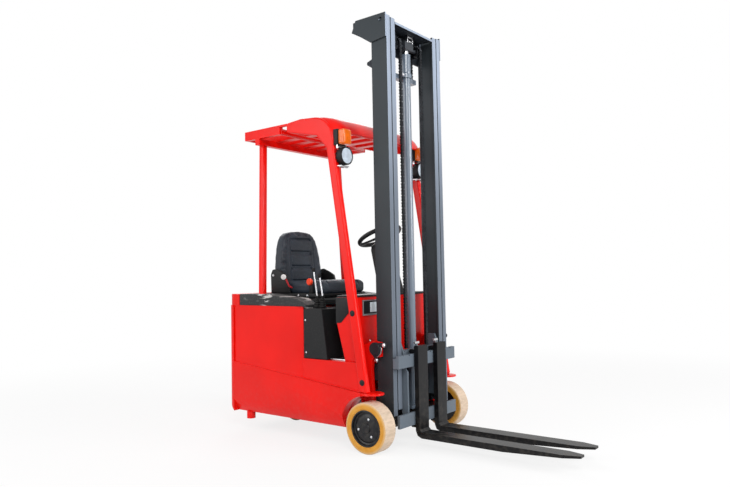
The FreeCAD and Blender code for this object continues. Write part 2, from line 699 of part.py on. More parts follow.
def channel(side):
    """Outer rail: a channel that opens towards the middle."""
    s = side
    rear = mast_front - rail_depth
    lip = mast_half - rail_flange
    web = mast_half - rail_web
    points = [(rear, s * mast_half), (mast_front, s * mast_half), (mast_front, s * lip), (mast_front - flange_t, s * lip),
              (mast_front - flange_t, s * web), (rear + flange_t, s * web), (rear + flange_t, s * lip), (rear, s * lip)]
    return plate_xy(points, mast_bottom, mast_top)


def beam_section(side):
    """Inner rail: an I section."""
    s = side
    rear = mast_front - rail_depth
    out = mast_half - rail_flange - rail_gap
    inn = out - inner_flange
    w0 = out - 16 - inner_web
    w1 = out - 16
    f = inner_flange_t
    points = [(rear, s * out), (rear + f, s * out), (rear + f, s * w1), (mast_front - f, s * w1), (mast_front - f, s * out),
              (mast_front, s * out), (mast_front, s * inn), (mast_front - f, s * inn), (mast_front - f, s * w0),
              (rear + f, s * w0), (rear + f, s * inn), (rear, s * inn)]
    return plate_xy(points, inner_bottom, inner_top)


def roller(side, r, z, y0, y1, stud_y0, stud_y1):
    """A guide roller between y0 and y1 with its square stud."""
    x = mast_front - rail_depth / 2
    half = roller_stud / 2
    stud = side_box(side, x - half, x + half, stud_y0, stud_y1, z - half, z + half)
    return fuse(across(r, side, x, z, y0, y1), stud)


# Outer mast
def mast_outer():
    rear = mast_front - rail_depth
    put("mast_outer_rails", *[channel(s) for s in SIDES])
    low = box(rear - tie_t, rear, -mast_half, mast_half, mast_bottom, 330)
    extras = []
    for side in SIDES:
        for k in (-1, 1):
            lug = tilt_y + k * ((tilt_lug_gap + tilt_lug_t) / 2 + 3)
            outline = [(rear - tie_t, tilt_z - 40), (tilt_eye_x - 18, tilt_z - 20), (tilt_eye_x - 18, tilt_z + 20),
                       (rear - tie_t, tilt_z + 40)]
            extras.append(plate_xz(outline, side * (lug - tilt_lug_t / 2), side * (lug + tilt_lug_t / 2)))
        extras.append(across(tilt_pin_r, side, tilt_eye_x, tilt_z, tilt_y - 16, tilt_y + 16))
    mid = box(rear - tie_t, rear, -mast_half, mast_half, 385, 480)
    head = box(-165, -145, -mast_half, mast_half, 2458, 2524)
    put("mast_outer_ties", fuse(low, *extras), mid, head)
    cheeks = []
    pins = []
    for side in SIDES:
        outline = [(-138, 2530), (mast_front, 2530), (mast_front, 2386), (rear, 2372), (-130, 2440), (-169, 2460)]
        cheek = plate_xz(outline, side * mast_half, side * (mast_half + 10))
        cheek = cheek.cut(across(12.5, side, 48, 2494, mast_half - 1, mast_half + 11))
        cheeks.append(cheek)
        pins.append(across(pivot_r, side, pivot_x, pivot_z, mast_half, stanchion_y + stanchion_t + 8))
    put("mast_head_plates", *cheeks)
    put("mast_pivot_pins", *pins)
    web = mast_half - rail_web
    out = mast_half - rail_flange - rail_gap
    r = rail_depth / 2 - inner_flange_t - roller_play
    put("outer_rollers", *[roller(s, r, 2440, out - 15, out + 1, out, web) for s in SIDES])
    tube = turned([(cylinder_r - cylinder_wall, mast_bottom + 40), (cylinder_r - cylinder_wall, cylinder_top - cylinder_head_h),
                   (rod_r + gland_fit, cylinder_top - cylinder_head_h), (rod_r + gland_fit, cylinder_top),
                   (cylinder_head_r, cylinder_top), (cylinder_head_r, cylinder_top - cylinder_head_h),
                   (cylinder_r, cylinder_top - cylinder_head_h - 12), (cylinder_r, mast_bottom + 20), (0, mast_bottom + 20),
                   (0, mast_bottom + 40)], V(cylinder_x, 0, 0), V(0, 0, 1), V(1, 0, 0))
    anchor = box(sheave_x - sheave_pitch_r - 12, cylinder_x - 10, -chain_y - 16, chain_y + 16, chain_anchor_z - 30, chain_anchor_z)
    anchor = anchor.cut(Part.makeCylinder(cylinder_r - 1, 60, V(cylinder_x, 0, chain_anchor_z - 45)))
    shelf = box(rear, cylinder_x + 34, -60, 60, mast_bottom, mast_bottom + 20)
    put("lift_cylinder", fuse(tube, shelf, anchor))


# Inner mast with lift rod, sheaves and chains
def mast_inner():
    rear = mast_front - rail_depth
    out = mast_half - rail_flange - rail_gap
    inn = out - inner_flange
    put("mast_inner_rails", *[beam_section(s) for s in SIDES])
    top_plate = box(rear - 12, rear, -out, out, 2350, 2490)
    hangers = []
    for side in SIDES:
        hangers.append(side_box(side, rear - 1, sheave_x + 22, chain_y + sheave_width / 2 + 6, chain_y + sheave_width / 2 + 14,
                                sheave_z - 30, sheave_z + 40))
    front_bar = box(mast_front - 14, mast_front, -inn, inn, 2484, 2498)
    low_bar = box(rear + 5, rear + 13, -inn, inn, 330, 430)
    put("mast_inner_ties", fuse(top_plate, *hangers), front_bar, low_bar)
    r = rail_depth / 2 - flange_t - roller_play
    web = out - 16
    lip = mast_half - rail_web
    put("inner_rollers", *[roller(s, r, 275, lip - 30, lip - 4, web, lip - 20) for s in SIDES])
    ram = rod(rod_r, V(cylinder_x, 0, rod_bottom), V(cylinder_x, 0, rod_top - 18))
    yoke = box(cylinder_x - 24, cylinder_x + 28, -44, 44, rod_top - 18, rod_top + 30)
    axle = rod(sheave_pin_r, V(sheave_x, -chain_y - sheave_width / 2 - 6, sheave_z), V(sheave_x, chain_y + sheave_width / 2 + 6, sheave_z))
    put("lift_rod", fuse(ram, yoke, axle))
    half = sheave_width / 2
    groove = sheave_pitch_r - chain_depth / 2
    wheels = []
    for side in SIDES:
        y = chain_y
        bore = sheave_pin_r + axle_fit
        points = [(bore, y - half), (groove, y - half), (groove, y + half), (bore, y + half)]
        wheels.append(turned_y(points, side, sheave_x, sheave_z))
    put("chain_sheaves", *wheels)
    fronts = []
    rears = []
    for side in SIDES:
        y0 = side * (chain_y - chain_width / 2)
        y1 = side * (chain_y + chain_width / 2)
        fx = sheave_x + sheave_pitch_r
        rx = sheave_x - sheave_pitch_r
        d = chain_depth / 2
        strand = box(fx - d, fx + d, y0, y1, anchor_bar_z1(), sheave_z)
        wrap = across(sheave_pitch_r + d, side, sheave_x, sheave_z, chain_y - chain_width / 2, chain_y + chain_width / 2)
        wrap = wrap.cut(across(groove, side, sheave_x, sheave_z, chain_y - chain_width / 2 - 1, chain_y + chain_width / 2 + 1))
        wrap = wrap.common(side_box(side, -100, 200, 0, 200, sheave_z, sheave_z + 100))
        fronts.append(fuse(strand, wrap))
        rears.append(box(rx - d, rx + d, y0, y1, chain_anchor_z, sheave_z - 0.5))
    put("lift_chains", *fronts)
    put("lift_chain_ends", *rears)


def anchor_bar_z1():
    return lower_bar_z + carriage_h + 20


# Carriage and forks
def carriage():
    top_z = lower_bar_z + carriage_h
    upper = box(bar_front - upper_bar_t, bar_front, -bar_half, bar_half, top_z - bar_h, top_z)
    upper = upper.cut(box(bar_front - upper_bar_t - 1, bar_front - 20, -bar_half - 1, bar_half + 1, top_z - 16, top_z + 1))
    notch = 12.0
    pitch = 75.0
    for k in range(-3, 4):
        upper = upper.cut(box(bar_front - 21, bar_front + 1, k * pitch + 27 - notch / 2, k * pitch + 27 + notch / 2,
                              top_z - 8, top_z + 1))
    lower = box(bar_front - lower_bar_t, bar_front, -bar_half, bar_half, lower_bar_z, lower_bar_z + bar_h)
    put("carriage_bars", upper, lower)
    plates = []
    inner_y = side_plate_y - side_plate_t
    for side in SIDES:
        outline = [(8, 245), (8, 620), (60, 620), (bar_front - upper_bar_t, top_z), (bar_front - upper_bar_t, top_z - bar_h),
                   (bar_front - lower_bar_t, top_z - bar_h - 30), (bar_front - lower_bar_t, lower_bar_z + 22),
                   (bar_front - lower_bar_t - 24, lower_bar_z + 22), (60, 245)]
        plates.append(plate_xz(outline, side * inner_y, side * side_plate_y))
    bar = box(sheave_x + sheave_pitch_r + 1, bar_front - upper_bar_t, -inner_y, inner_y, anchor_bar_z1() - 34, anchor_bar_z1())
    put("carriage_sides", fuse(bar, *plates))
    inn = mast_half - rail_flange - rail_gap - inner_flange
    r = rail_depth / 2 - inner_flange_t - roller_play
    rollers = []
    for side in SIDES:
        for z in (300.0, 560.0):
            rollers.append(roller(side, r, z, inn + 1, inn + 15, side_plate_y, inn + 2))
    put("carriage_rollers", *rollers)


def forks():
    top_z = lower_bar_z + carriage_h
    back = bar_front + slip
    front = bar_front + fork_t
    tip_x = front + fork_length
    heel_r = 40.0
    for side, name in zip(SIDES, ("right", "left")):
        y0 = fork_y - fork_w / 2
        y1 = fork_y + fork_w / 2
        outline = [(back, fork_top), (back, fork_bottom + heel_r), (back + 12, fork_bottom + 12), (back + heel_r, fork_bottom),
                   (tip_x - 420, fork_bottom), (tip_x, fork_bottom + blade_t - tip_t), (tip_x, fork_bottom + blade_t),
                   (front + 14, fork_bottom + blade_t), (front, fork_bottom + blade_t + 14), (front, fork_top)]
        blade = plate_xz(outline, side * y0, side * y1)
        blade = blade.common(plate_xy([(0, side * (y0 - 1)), (tip_x - 90, side * (y0 - 1)), (tip_x + 1, side * (y0 + 26)),
                                       (tip_x + 1, side * (y1 - 26)), (tip_x - 90, side * (y1 + 1)), (0, side * (y1 + 1))], 0, 700))
        hook = plate_xz([(back + 1, top_z + slip), (bar_front - 20 - slip, top_z + slip), (bar_front - 20 - slip, top_z - 15),
                         (bar_front - 33, top_z - 15), (bar_front - 33, top_z + 24), (back + 1, top_z + 24)],
                        side * y0, side * y1)
        claw = plate_xz([(back + 1, lower_bar_z - slip), (bar_front - lower_bar_t - slip, lower_bar_z - slip),
                         (bar_front - lower_bar_t - slip, lower_bar_z + 12), (bar_front - lower_bar_t - 12, lower_bar_z + 12),
                         (bar_front - lower_bar_t - 12, lower_bar_z - 18), (back + 1, lower_bar_z - 18)],
                        side * y0, side * y1)
        put("fork_" + name, fuse(blade, hook, claw))
        mid = side * fork_y
        pin_x = bar_front - 14
        stem = box(pin_x - 5, pin_x + 5, mid - 5, mid + 5, top_z + 24, top_z + 60)
        handle = box(pin_x - 6, pin_x + 6, mid - 22, mid + 22, top_z + 54, top_z + 66)
        put("fork_pin_" + name, fuse(stem, handle))


def eye_block(side, x, half):
    """An eight-sided eye round a tilt cylinder's pin."""
    r = tilt_eye_r
    c = r * math.tan(math.pi / 8)
    outline = [(x + i, tilt_z + j) for i, j in ((r, c), (c, r), (-c, r), (-r, c), (-r, -c), (-c, -r), (c, -r), (r, -c))]
    return plate_xz(outline, side * (tilt_y - half), side * (tilt_y + half))


# Tilt cylinders between chassis and mast foot
def tilt_cylinders():
    barrels = []
    rods = []
    half = tilt_lug_gap / 2
    for side in SIDES:
        y = side * tilt_y
        start = V(tilt_anchor_x + 30, y, tilt_z)
        end = V(tilt_eye_x - 64, y, tilt_z)
        tube = rod(tilt_barrel_r, start, end)
        tube = tube.cut(rod(tilt_rod_r + gland_fit, start + V(20, 0, 0), end + V(1, 0, 0)))
        eye = eye_block(side, tilt_anchor_x, half)
        neck = box(tilt_anchor_x, tilt_anchor_x + 32, y - half, y + half, tilt_z - 14, tilt_z + 14)
        barrel = fuse(tube, eye, neck).cut(across(tilt_pin_r + pivot_fit, side, tilt_anchor_x, tilt_z, tilt_y - 30, tilt_y + 30))
        barrels.append(barrel)
        shaft = rod(tilt_rod_r, V(tilt_anchor_x + 110, y, tilt_z), V(tilt_eye_x - 26, y, tilt_z))
        link = box(tilt_eye_x - 27, tilt_eye_x - 10, y - half + 1, y + half - 1, tilt_z - 12, tilt_z + 12)
        ring = eye_block(side, tilt_eye_x, half)
        rods.append(fuse(shaft, link, ring).cut(across(tilt_pin_r + 3, side, tilt_eye_x, tilt_z, tilt_y - 30, tilt_y + 30)))
    put("tilt_barrels", *barrels)
    put("tilt_rods", *rods)


# Drive unit under the rear plate
def drive():
    flange = Part.makeCylinder(drive_turn_r, 14, V(drive_x, 0, drive_plate_z - 14.5))
    motor = Part.makeCylinder(drive_motor_r, drive_motor_top - drive_plate_z + 14, V(drive_x, 0, drive_plate_z - 14))
    half = drive_wheel_width / 2
    top = box(drive_x - 70, drive_x + 70, -half - 10, half + 58, 2 * drive_wheel_r + 12, drive_plate_z - 14)
    leg = box(drive_x - 55, drive_x + 55, half + 8, half + 50, 55, 2 * drive_wheel_r + 20)
    leg = rounded(leg, 24, lambda e: along(e, "Y"))
    shaft = rod(drive_shaft_r, V(drive_x, -half + 6, drive_wheel_r), V(drive_x, half + 10, drive_wheel_r))
    put("drive_unit", fuse(flange, motor, top, leg, shaft))
    tyre = [(drive_hub_r, -half), (drive_wheel_r, -half), (drive_wheel_r, half), (drive_hub_r, half)]
    hub = [(drive_shaft_r + axle_fit, -half + 8), (drive_hub_r, -half + 8), (drive_hub_r, half - 8), (drive_shaft_r + axle_fit, half - 8)]
    centre = V(drive_x, 0, drive_wheel_r)
    put("drive_tyre", turned(tyre, centre, V(0, 1, 0), V(1, 0, 0)))
    put("drive_hub", turned(hub, centre, V(0, 1, 0), V(1, 0, 0)))


front_wheels()
chassis_frame()
side_panels()
counterweight()
hood_covers()
hood_and_seat()
foot_well()
cowl()
guard()
lamps()
fenders()
trunnions()
mast_outer()
mast_inner()
carriage()
forks()
tilt_cylinders()
drive()
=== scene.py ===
"""Looks of a three-wheel electric forklift truck.

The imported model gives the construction. This script adds finishes, the padded seat, fine pieces
such as chain links, lamps and bolts, the camera and the light. Pieces are drawn in millimetres
from the middle of the front axle on the ground: X forward, Y left, Z up.
"""
import bmesh
import bpy
import math
from mathutils import Matrix, Vector


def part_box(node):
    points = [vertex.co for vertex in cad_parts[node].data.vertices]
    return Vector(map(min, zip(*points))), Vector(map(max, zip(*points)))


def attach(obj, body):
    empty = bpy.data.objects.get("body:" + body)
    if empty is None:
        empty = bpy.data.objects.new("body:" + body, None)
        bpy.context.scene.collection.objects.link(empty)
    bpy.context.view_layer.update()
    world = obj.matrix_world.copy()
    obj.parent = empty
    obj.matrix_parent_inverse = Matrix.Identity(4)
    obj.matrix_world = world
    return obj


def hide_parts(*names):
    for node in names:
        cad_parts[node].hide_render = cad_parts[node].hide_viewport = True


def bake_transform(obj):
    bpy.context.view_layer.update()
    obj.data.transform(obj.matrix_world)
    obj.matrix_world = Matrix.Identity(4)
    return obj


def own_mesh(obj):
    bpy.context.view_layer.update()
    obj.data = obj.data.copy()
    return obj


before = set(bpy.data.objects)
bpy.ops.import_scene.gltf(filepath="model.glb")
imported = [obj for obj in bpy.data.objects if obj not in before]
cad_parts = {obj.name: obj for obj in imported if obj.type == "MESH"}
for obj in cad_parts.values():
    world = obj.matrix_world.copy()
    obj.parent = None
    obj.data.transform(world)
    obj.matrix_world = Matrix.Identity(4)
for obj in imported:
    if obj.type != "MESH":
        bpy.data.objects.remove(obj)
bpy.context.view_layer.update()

SIDES = (-1, 1)
MM = 0.001
tyre_low, tyre_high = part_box("front_tyre_left")
AXLE = Vector(((tyre_low.x + tyre_high.x) / 2, 0, 0))
wheel_r = (tyre_high.z - tyre_low.z) / 2 / MM
wheel_in = tyre_low.y / MM
wheel_out = tyre_high.y / MM


def at(x, y, z):
    """A drawing's point as a place in the frame, in metres."""
    return AXLE + Vector((x, y, z)) * MM


def drawn(point):
    """A place in the frame as a point of the drawing."""
    return (Vector(point) - AXLE) / MM


def node_box(node):
    low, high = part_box(node)
    return drawn(low), drawn(high)


def srgb(r, g, b):
    """A colour given as 0 to 255 on a screen."""
    linear = [(v / 255) / 12.92 if v < 11 else ((v / 255 + 0.055) / 1.055) ** 2.4 for v in (r, g, b)]
    return (*linear, 1.0)


# Finishes
class Signal:
    """An output socket of a finish. Arithmetic on it adds Math nodes."""

    def __init__(self, finish, socket):
        self.finish = finish
        self.socket = socket

    def maths(self, operation, *values):
        return self.finish.node("ShaderNodeMath", {"operation": operation}, dict(enumerate(values)))

    def __add__(self, other):
        return self.maths("ADD", self, other)

    def __sub__(self, other):
        return self.maths("SUBTRACT", self, other)

    def __rsub__(self, other):
        return self.maths("SUBTRACT", other, self)

    def __mul__(self, other):
        return self.maths("MULTIPLY", self, other)

    def __truediv__(self, other):
        return self.maths("DIVIDE", self, other)

    def __pow__(self, other):
        return self.maths("POWER", self, other)

    def __abs__(self):
        return self.maths("ABSOLUTE", self)

    __radd__ = __add__
    __rmul__ = __mul__

    def step(self, low, high):
        """0 below low, 1 above high, smooth between. With low above high it falls."""
        return self.finish.node("ShaderNodeMapRange", {"interpolation_type": "SMOOTHSTEP"},
                                {"Value": self, "From Min": low, "From Max": high})


class Finish:
    """A material whose nodes are made by node()."""

    def __init__(self, name):
        self.material = bpy.data.materials.new(name)
        self.material.use_nodes = True
        self.tree = self.material.node_tree
        self.tree.nodes.clear()
        self.coordinates = self.node("ShaderNodeTexCoord", out="Object")

    def node(self, kind, settings=None, sockets=None, out=0):
        made = self.tree.nodes.new(kind)
        for key, value in (settings or {}).items():
            setattr(made, key, value)
        for key, value in (sockets or {}).items():
            if isinstance(value, Signal):
                self.tree.links.new(value.socket, made.inputs[key])
            else:
                made.inputs[key].default_value = value
        return Signal(self, made.outputs[out])

    def axes(self, vector=None):
        """X, Y and Z of a vector, of the place in metres if none is given."""
        split = self.node("ShaderNodeSeparateXYZ", None, {0: vector or self.coordinates})
        outputs = split.socket.node.outputs
        return [Signal(self, outputs[k]) for k in range(3)]

    def facing(self):
        """The surface's own direction, as X, Y and Z."""
        return self.axes(self.node("ShaderNodeTexCoord", out="Normal"))

    def noise(self, scale, detail=3.0, stretch=(1, 1, 1)):
        spot = self.node("ShaderNodeMapping", None, {"Vector": self.coordinates, "Scale": stretch})
        return self.node("ShaderNodeTexNoise", None, {"Vector": spot, "Scale": scale, "Detail": detail})

    def cells(self, scale, feature="F1"):
        return self.node("ShaderNodeTexVoronoi", {"feature": feature},
                         {"Vector": self.coordinates, "Scale": scale})

    def blend(self, factor, first, second):
        """Mixes two colours."""
        return self.node("ShaderNodeMix", {"data_type": "RGBA"}, {0: factor, 6: first, 7: second}, out=2)

    def bump(self, height, depth, under=None):
        sockets = {"Height": height, "Strength": 1.0, "Distance": depth}
        if under:
            sockets["Normal"] = under
        return self.node("ShaderNodeBump", None, sockets)

    def close(self, sockets):
        shader = self.node("ShaderNodeBsdfPrincipled", None, sockets)
        self.node_output(shader)
        return self.material

    def node_output(self, shader):
        output = self.tree.nodes.new("ShaderNodeOutputMaterial")
        self.tree.links.new(shader.socket, output.inputs["Surface"])


def enamel(name, base, rough=0.3, gloss=0.18, coat=0.0, dust=0.2, peel=0.00012, deeper=0.86, front=None):
    """Sprayed paint with faint orange peel, dust low down and on top, small scuffs.
    front is the colour of a painted reflection on faces that look forward, stronger towards the top, such as mast
    flanges."""
    f = Finish(name)
    tone = f.noise(2.2, 4).step(0.3, 0.7)
    deep = tuple(v * deeper for v in base[:3]) + (1.0,)
    colour = f.blend(tone, deep, base)
    height = f.axes()[2]
    # Painted reflection: forward faces take the lighter front colour, stronger higher up, with faint vertical streaks.
    if front:
        streak = f.noise(26, 3, (1, 1, 0.03)).step(0.25, 0.75)
        ahead = f.facing()[0].step(0.7, 0.95)
        sheen_by_height = 0.36 + height.step(1.3, 2.3) * 0.64
        colour = f.blend(ahead * sheen_by_height * (0.75 + streak * 0.25), colour, front)
    upward = f.facing()[2].step(0.6, 1.0)
    speckle = f.noise(38, 6).step(0.42, 0.72)
    dirt = (height.step(0.55, 0.08) * 0.7 + upward * 0.5) * speckle * dust
    colour = f.blend(dirt, colour, srgb(150, 140, 128))
    scuff = f.noise(9, 8, (1, 1, 5)).step(0.66, 0.74) * f.noise(3, 2).step(0.5, 0.7)
    roughness = rough + dirt * 0.5 + scuff * 0.18 + f.noise(14, 4) * 0.06
    fine = f.bump(f.noise(420, 2), peel)
    return f.close({"Base Color": colour, "Roughness": roughness, "Normal": fine,
                    "Specular IOR Level": gloss, "Coat Weight": coat, "Coat Roughness": 0.08})


def metal(name, base, rough=0.3, oil=0.0, brushed=(1, 1, 1), metallic=1.0):
    """Bare or plated metal with soft brushing and darker film where oil is over 0."""
    f = Finish(name)
    film = f.noise(22, 5).step(0.35, 0.75)
    dark = tuple(v * 0.35 for v in base[:3]) + (1.0,)
    grain = f.noise(240, 2, brushed)
    colour = f.blend(film * oil, base, dark)
    return f.close({"Base Color": colour, "Metallic": metallic,
                    "Roughness": rough + grain * 0.1 + film * 0.06, "Normal": f.bump(grain, 0.00006)})


def rod_chrome(name, radius, top):
    """Chromed lift rod with the dark crosshead at its top."""
    f = Finish(name)
    middle = at(16, 0, 0)
    x, y, z = f.axes()
    dx = x - middle.x
    polished = ((dx * dx + y * y) ** 0.5).step(radius + 0.001, radius) * z.step(top + 0.002, top)
    grain = f.noise(240, 2, (1, 1, 0.1))
    colour = f.blend(polished, srgb(52, 56, 62), srgb(226, 228, 232))
    return f.close({"Base Color": colour, "Metallic": 0.4 + polished * 0.6,
                    "Roughness": 0.5 - polished * 0.42 + grain * 0.06, "Normal": f.bump(grain, 0.00005)})


def moulded(name, base, rough=0.5, dust=0.25, grain=0.0002, scale=620, pale=0.0, gloss=0.22):
    """Moulded plastic or rubber: leather-like grain, dust on top, pale rub marks where pale is over 0."""
    f = Finish(name)
    tone = f.noise(5, 4).step(0.3, 0.7)
    lighter = tuple(min(1.0, v * 1.5 + 0.004) for v in base[:3]) + (1.0,)
    colour = f.blend(tone * 0.6, base, lighter)
    upward = f.facing()[2].step(0.5, 1.0)
    speckle = f.noise(90, 7).step(0.45, 0.7)
    dirt = (0.25 + upward * 0.75) * speckle * dust
    colour = f.blend(dirt, colour, srgb(160, 155, 148))
    rubs = f.noise(7, 10, (1, 1, 6)).step(0.55, 0.6) * f.noise(2.5, 3).step(0.42, 0.52) * pale
    colour = f.blend(rubs, colour, srgb(205, 203, 200))
    pebble = f.cells(scale)
    return f.close({"Base Color": colour, "Roughness": rough + dirt * 0.35 + tone * 0.06,
                    "Specular IOR Level": gloss,
                    "Normal": f.bump(pebble, grain, f.bump(f.noise(60, 3), grain))})


def vinyl():
    """Black coated cloth of the seat: fine grain, soft bluish sheen, creases polished by use."""
    f = Finish("seat_vinyl")
    tone = f.noise(7, 4).step(0.3, 0.7)
    colour = f.blend(tone, srgb(24, 31, 40), srgb(42, 51, 62))
    dust = f.noise(70, 7).step(0.5, 0.75) * 0.05
    colour = f.blend(dust, colour, srgb(150, 150, 155))
    grain = f.bump(f.cells(900), 0.00022)
    crease = f.bump(f.noise(30, 5, (1, 3, 1)), 0.0012, grain)
    return f.close({"Base Color": colour, "Roughness": 0.4 + tone * 0.12, "Normal": crease,
                    "Specular IOR Level": 0.3, "Sheen Weight": 0.08, "Sheen Roughness": 0.4, "Sheen Tint": srgb(150, 165, 200)})


def polyurethane(name, centre):
    """Cast tyre: amber sides that pale towards the shoulder, cream tread with grey rubbing."""
    f = Finish(name)
    x, _, z = f.axes()
    dx = x - centre.x
    dz = z - centre.z
    radius = (dx * dx + dz * dz) ** 0.5
    edge = wheel_r * MM
    mottle = f.noise(18, 5).step(0.3, 0.7)
    flank = f.blend(mottle, srgb(204, 142, 48), srgb(216, 158, 66))
    flank = f.blend(radius.step(edge - 0.018, edge - 0.008), flank, srgb(214, 172, 112))
    tread = f.blend(f.noise(60, 6, (1, 0.3, 1)).step(0.35, 0.7), srgb(214, 192, 170), srgb(196, 176, 154))
    tread_mask = radius.step(edge - 0.006, edge - 0.002)
    colour = f.blend(tread_mask, flank, tread)
    rubbed = f.noise(130, 5, (1, 0.15, 1)).step(0.55, 0.8) * tread_mask * 0.35
    colour = f.blend(rubbed, colour, srgb(120, 110, 104))
    grime = f.noise(11, 8).step(0.58, 0.76) * 0.22
    colour = f.blend(grime, colour, srgb(150, 120, 88))
    relief = f.bump(f.noise(90, 4), 0.0003)
    return f.close({"Base Color": colour, "Roughness": 0.42 + tread_mask * 0.2 + mottle * 0.05,
                    "Normal": relief, "Specular IOR Level": 0.25})


def lens(name, base, painted_glow=0.0, clear=0.4):
    """A moulded lamp lens that lets some light through. Its emission is a painted glow that makes the unlit lens look
    bright.
    """
    f = Finish(name)
    tone = f.noise(40, 3).step(0.3, 0.7)
    deep = tuple(v * 0.8 for v in base[:3]) + (1.0,)
    return f.close({"Base Color": f.blend(tone, deep, base), "Roughness": 0.08 + tone * 0.06,
                    "Transmission Weight": clear, "IOR": 1.49,
                    "Emission Color": f.blend(tone, deep, base), "Emission Strength": painted_glow})


red = enamel("red_enamel", srgb(236, 16, 6), rough=0.26, gloss=0.22, dust=0.08)
black = enamel("black_enamel", srgb(18, 19, 21), rough=0.34, dust=0.12)
# front here is a painted reflection on the rails' forward faces.
mast_grey = enamel("mast_enamel", srgb(50, 56, 60), rough=0.4, dust=0.05, front=srgb(158, 170, 188))
# Darker copy of the mast paint: painted shade for the ties and the top cover, which sit in shade. The pivot caps and
# brackets share it.
mast_painted_shade = enamel("mast_painted_shade_enamel", srgb(38, 42, 48), rough=0.42, dust=0.05)
carriage_grey = enamel("carriage_enamel", srgb(100, 110, 120), rough=0.38, dust=0.1)
tube_grey = enamel("cylinder_enamel", srgb(104, 116, 130), rough=0.2, gloss=0.6, coat=0.3, dust=0.04)
fork_black = enamel("fork_enamel", srgb(15, 15, 17), rough=0.3, gloss=0.2, dust=0.1)
drive_grey = enamel("drive_enamel", srgb(52, 54, 58), rough=0.5, dust=0.5)
plastic = moulded("black_plastic", srgb(15, 16, 18), rough=0.42, dust=0.06)
cover_plastic = moulded("cover_plastic", srgb(38, 40, 42), rough=0.5, dust=0.35, pale=0.85)
rubber = moulded("black_rubber", srgb(14, 14, 15), rough=0.6, dust=0.1, grain=0.0003)
drive_rubber = moulded("drive_rubber", srgb(150, 92, 40), rough=0.55, dust=0.5)
battery = moulded("battery_case", srgb(70, 72, 76), rough=0.5, dust=0.4)
rim_black = enamel("rim_enamel", srgb(17, 18, 22), rough=0.32, gloss=0.3, dust=0.12)
steel = metal("bare_steel", srgb(206, 207, 210), rough=0.24, oil=0.12)
chrome = metal("chromed_rod", srgb(224, 226, 230), rough=0.07, brushed=(1, 1, 0.1))
lift_chrome = rod_chrome("lift_rod_chrome", 0.018, 2.4)
chain_steel = metal("chain_steel", srgb(62, 64, 68), rough=0.32, oil=0.6)
pale_plastic = moulded("pale_plastic", srgb(206, 214, 224), rough=0.3, dust=0.03)
grey_plastic = moulded("grey_plastic", srgb(112, 116, 118), rough=0.4, dust=0.1)
# Both lenses carry a faint painted glow from emission.
glass_white = lens("lamp_glass", srgb(224, 234, 244), painted_glow=0.18, clear=0.6)
reflector = metal("lamp_reflector", srgb(236, 238, 242), rough=0.12)
amber = lens("amber_lens", srgb(250, 122, 22), painted_glow=0.1, clear=0.35)
bar_red = enamel("bar_enamel", srgb(238, 20, 12), rough=0.12, gloss=0.6, coat=0.9, dust=0.05)
orange = moulded("orange_knob", srgb(232, 62, 30), rough=0.3, dust=0.02)
white_tag = moulded("white_tag", srgb(228, 229, 228), rough=0.4, dust=0.05)
hinge_red = enamel("seat_lever_red", srgb(170, 34, 40), rough=0.35, dust=0.05)
seat_cloth = vinyl()

# Every solid of the model: its finish, and the width of its edges in millimetres
NODE_FINISH = {
    red: ("chassis_frame", "side_panel_left", "side_panel_right", "counterweight", "rear_feet",
          "front_cowl", "guard_front_sides", "guard_front_roof", "guard_rear_roof", "guard_rear_legs",
          "front_fenders", "trunnion_bearings"),
    black: ("hood", "seat_mount", "front_axle", "pedals", "mast_pivot_pins"),
    mast_grey: ("mast_outer_rails", "mast_head_plates", "mast_inner_rails"),
    # The ties take the darker copy of the mast paint, which is painted shade.
    mast_painted_shade: ("mast_outer_ties", "mast_inner_ties"),
    tube_grey: ("lift_cylinder",),
    carriage_grey: ("carriage_bars", "carriage_sides"),
    fork_black: ("fork_left", "fork_right"),
    drive_grey: ("drive_unit",),
    plastic: ("seat_base_panel", "cowl_top_pad", "steering_column", "control_levers", "steering_wheel",
              "lamp_housings", "display_frame"),
    cover_plastic: ("hood_side_covers",),
    drive_rubber: ("drive_tyre",),
    battery: ("battery_block",),
    rim_black: ("front_rim_left", "front_rim_right", "drive_hub", "tilt_barrels"),
    steel: ("fork_pin_left", "fork_pin_right", "outer_rollers", "inner_rollers", "carriage_rollers"),
    chrome: ("tilt_rods",),
    lift_chrome: ("lift_rod",),
    chain_steel: ("lift_chains", "lift_chain_ends", "chain_sheaves"),
    glass_white: ("lamp_lenses",),
    amber: ("indicator_lenses",),
    seat_cloth: ("seat_cushion", "seat_back"),
}
EDGE = {"hood_side_covers": 6.0, "seat_base_panel": 10.0, "front_cowl": 3.0, "counterweight": 10.0,
        "side_panel_left": 5.0, "side_panel_right": 5.0, "guard_rear_roof": 4.0,
        "guard_front_sides": 11.0, "guard_front_roof": 4.0, "fork_left": 2.5, "fork_right": 2.5,
        "carriage_bars": 2.0, "mast_outer_rails": 3.0, "mast_inner_rails": 3.0, "cowl_top_pad": 2.0}
usual_edge = 1.5


def dress(node, finish):
    """Gives a solid its finish, soft edges and smooth shading. Its own mesh stays as it is."""
    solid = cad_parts[node]
    solid.data.materials.clear()
    solid.data.materials.append(finish)
    weld = solid.modifiers.new("weld", "WELD")
    weld.merge_threshold = 0.00001
    bevel = solid.modifiers.new("edges", "BEVEL")
    bevel.width = EDGE.get(node, usual_edge) * MM
    bevel.segments = 3
    bevel.limit_method = "ANGLE"
    bevel.angle_limit = math.radians(35)
    solid.data.polygons.foreach_set("use_smooth", [True] * len(solid.data.polygons))
    normals = solid.modifiers.new("normals", "WEIGHTED_NORMAL")
    normals.keep_sharp = True


for finish, nodes in NODE_FINISH.items():
    for node in nodes:
        dress(node, finish)
dress("front_tyre_left", drive_rubber)
dress("front_tyre_right", drive_rubber)


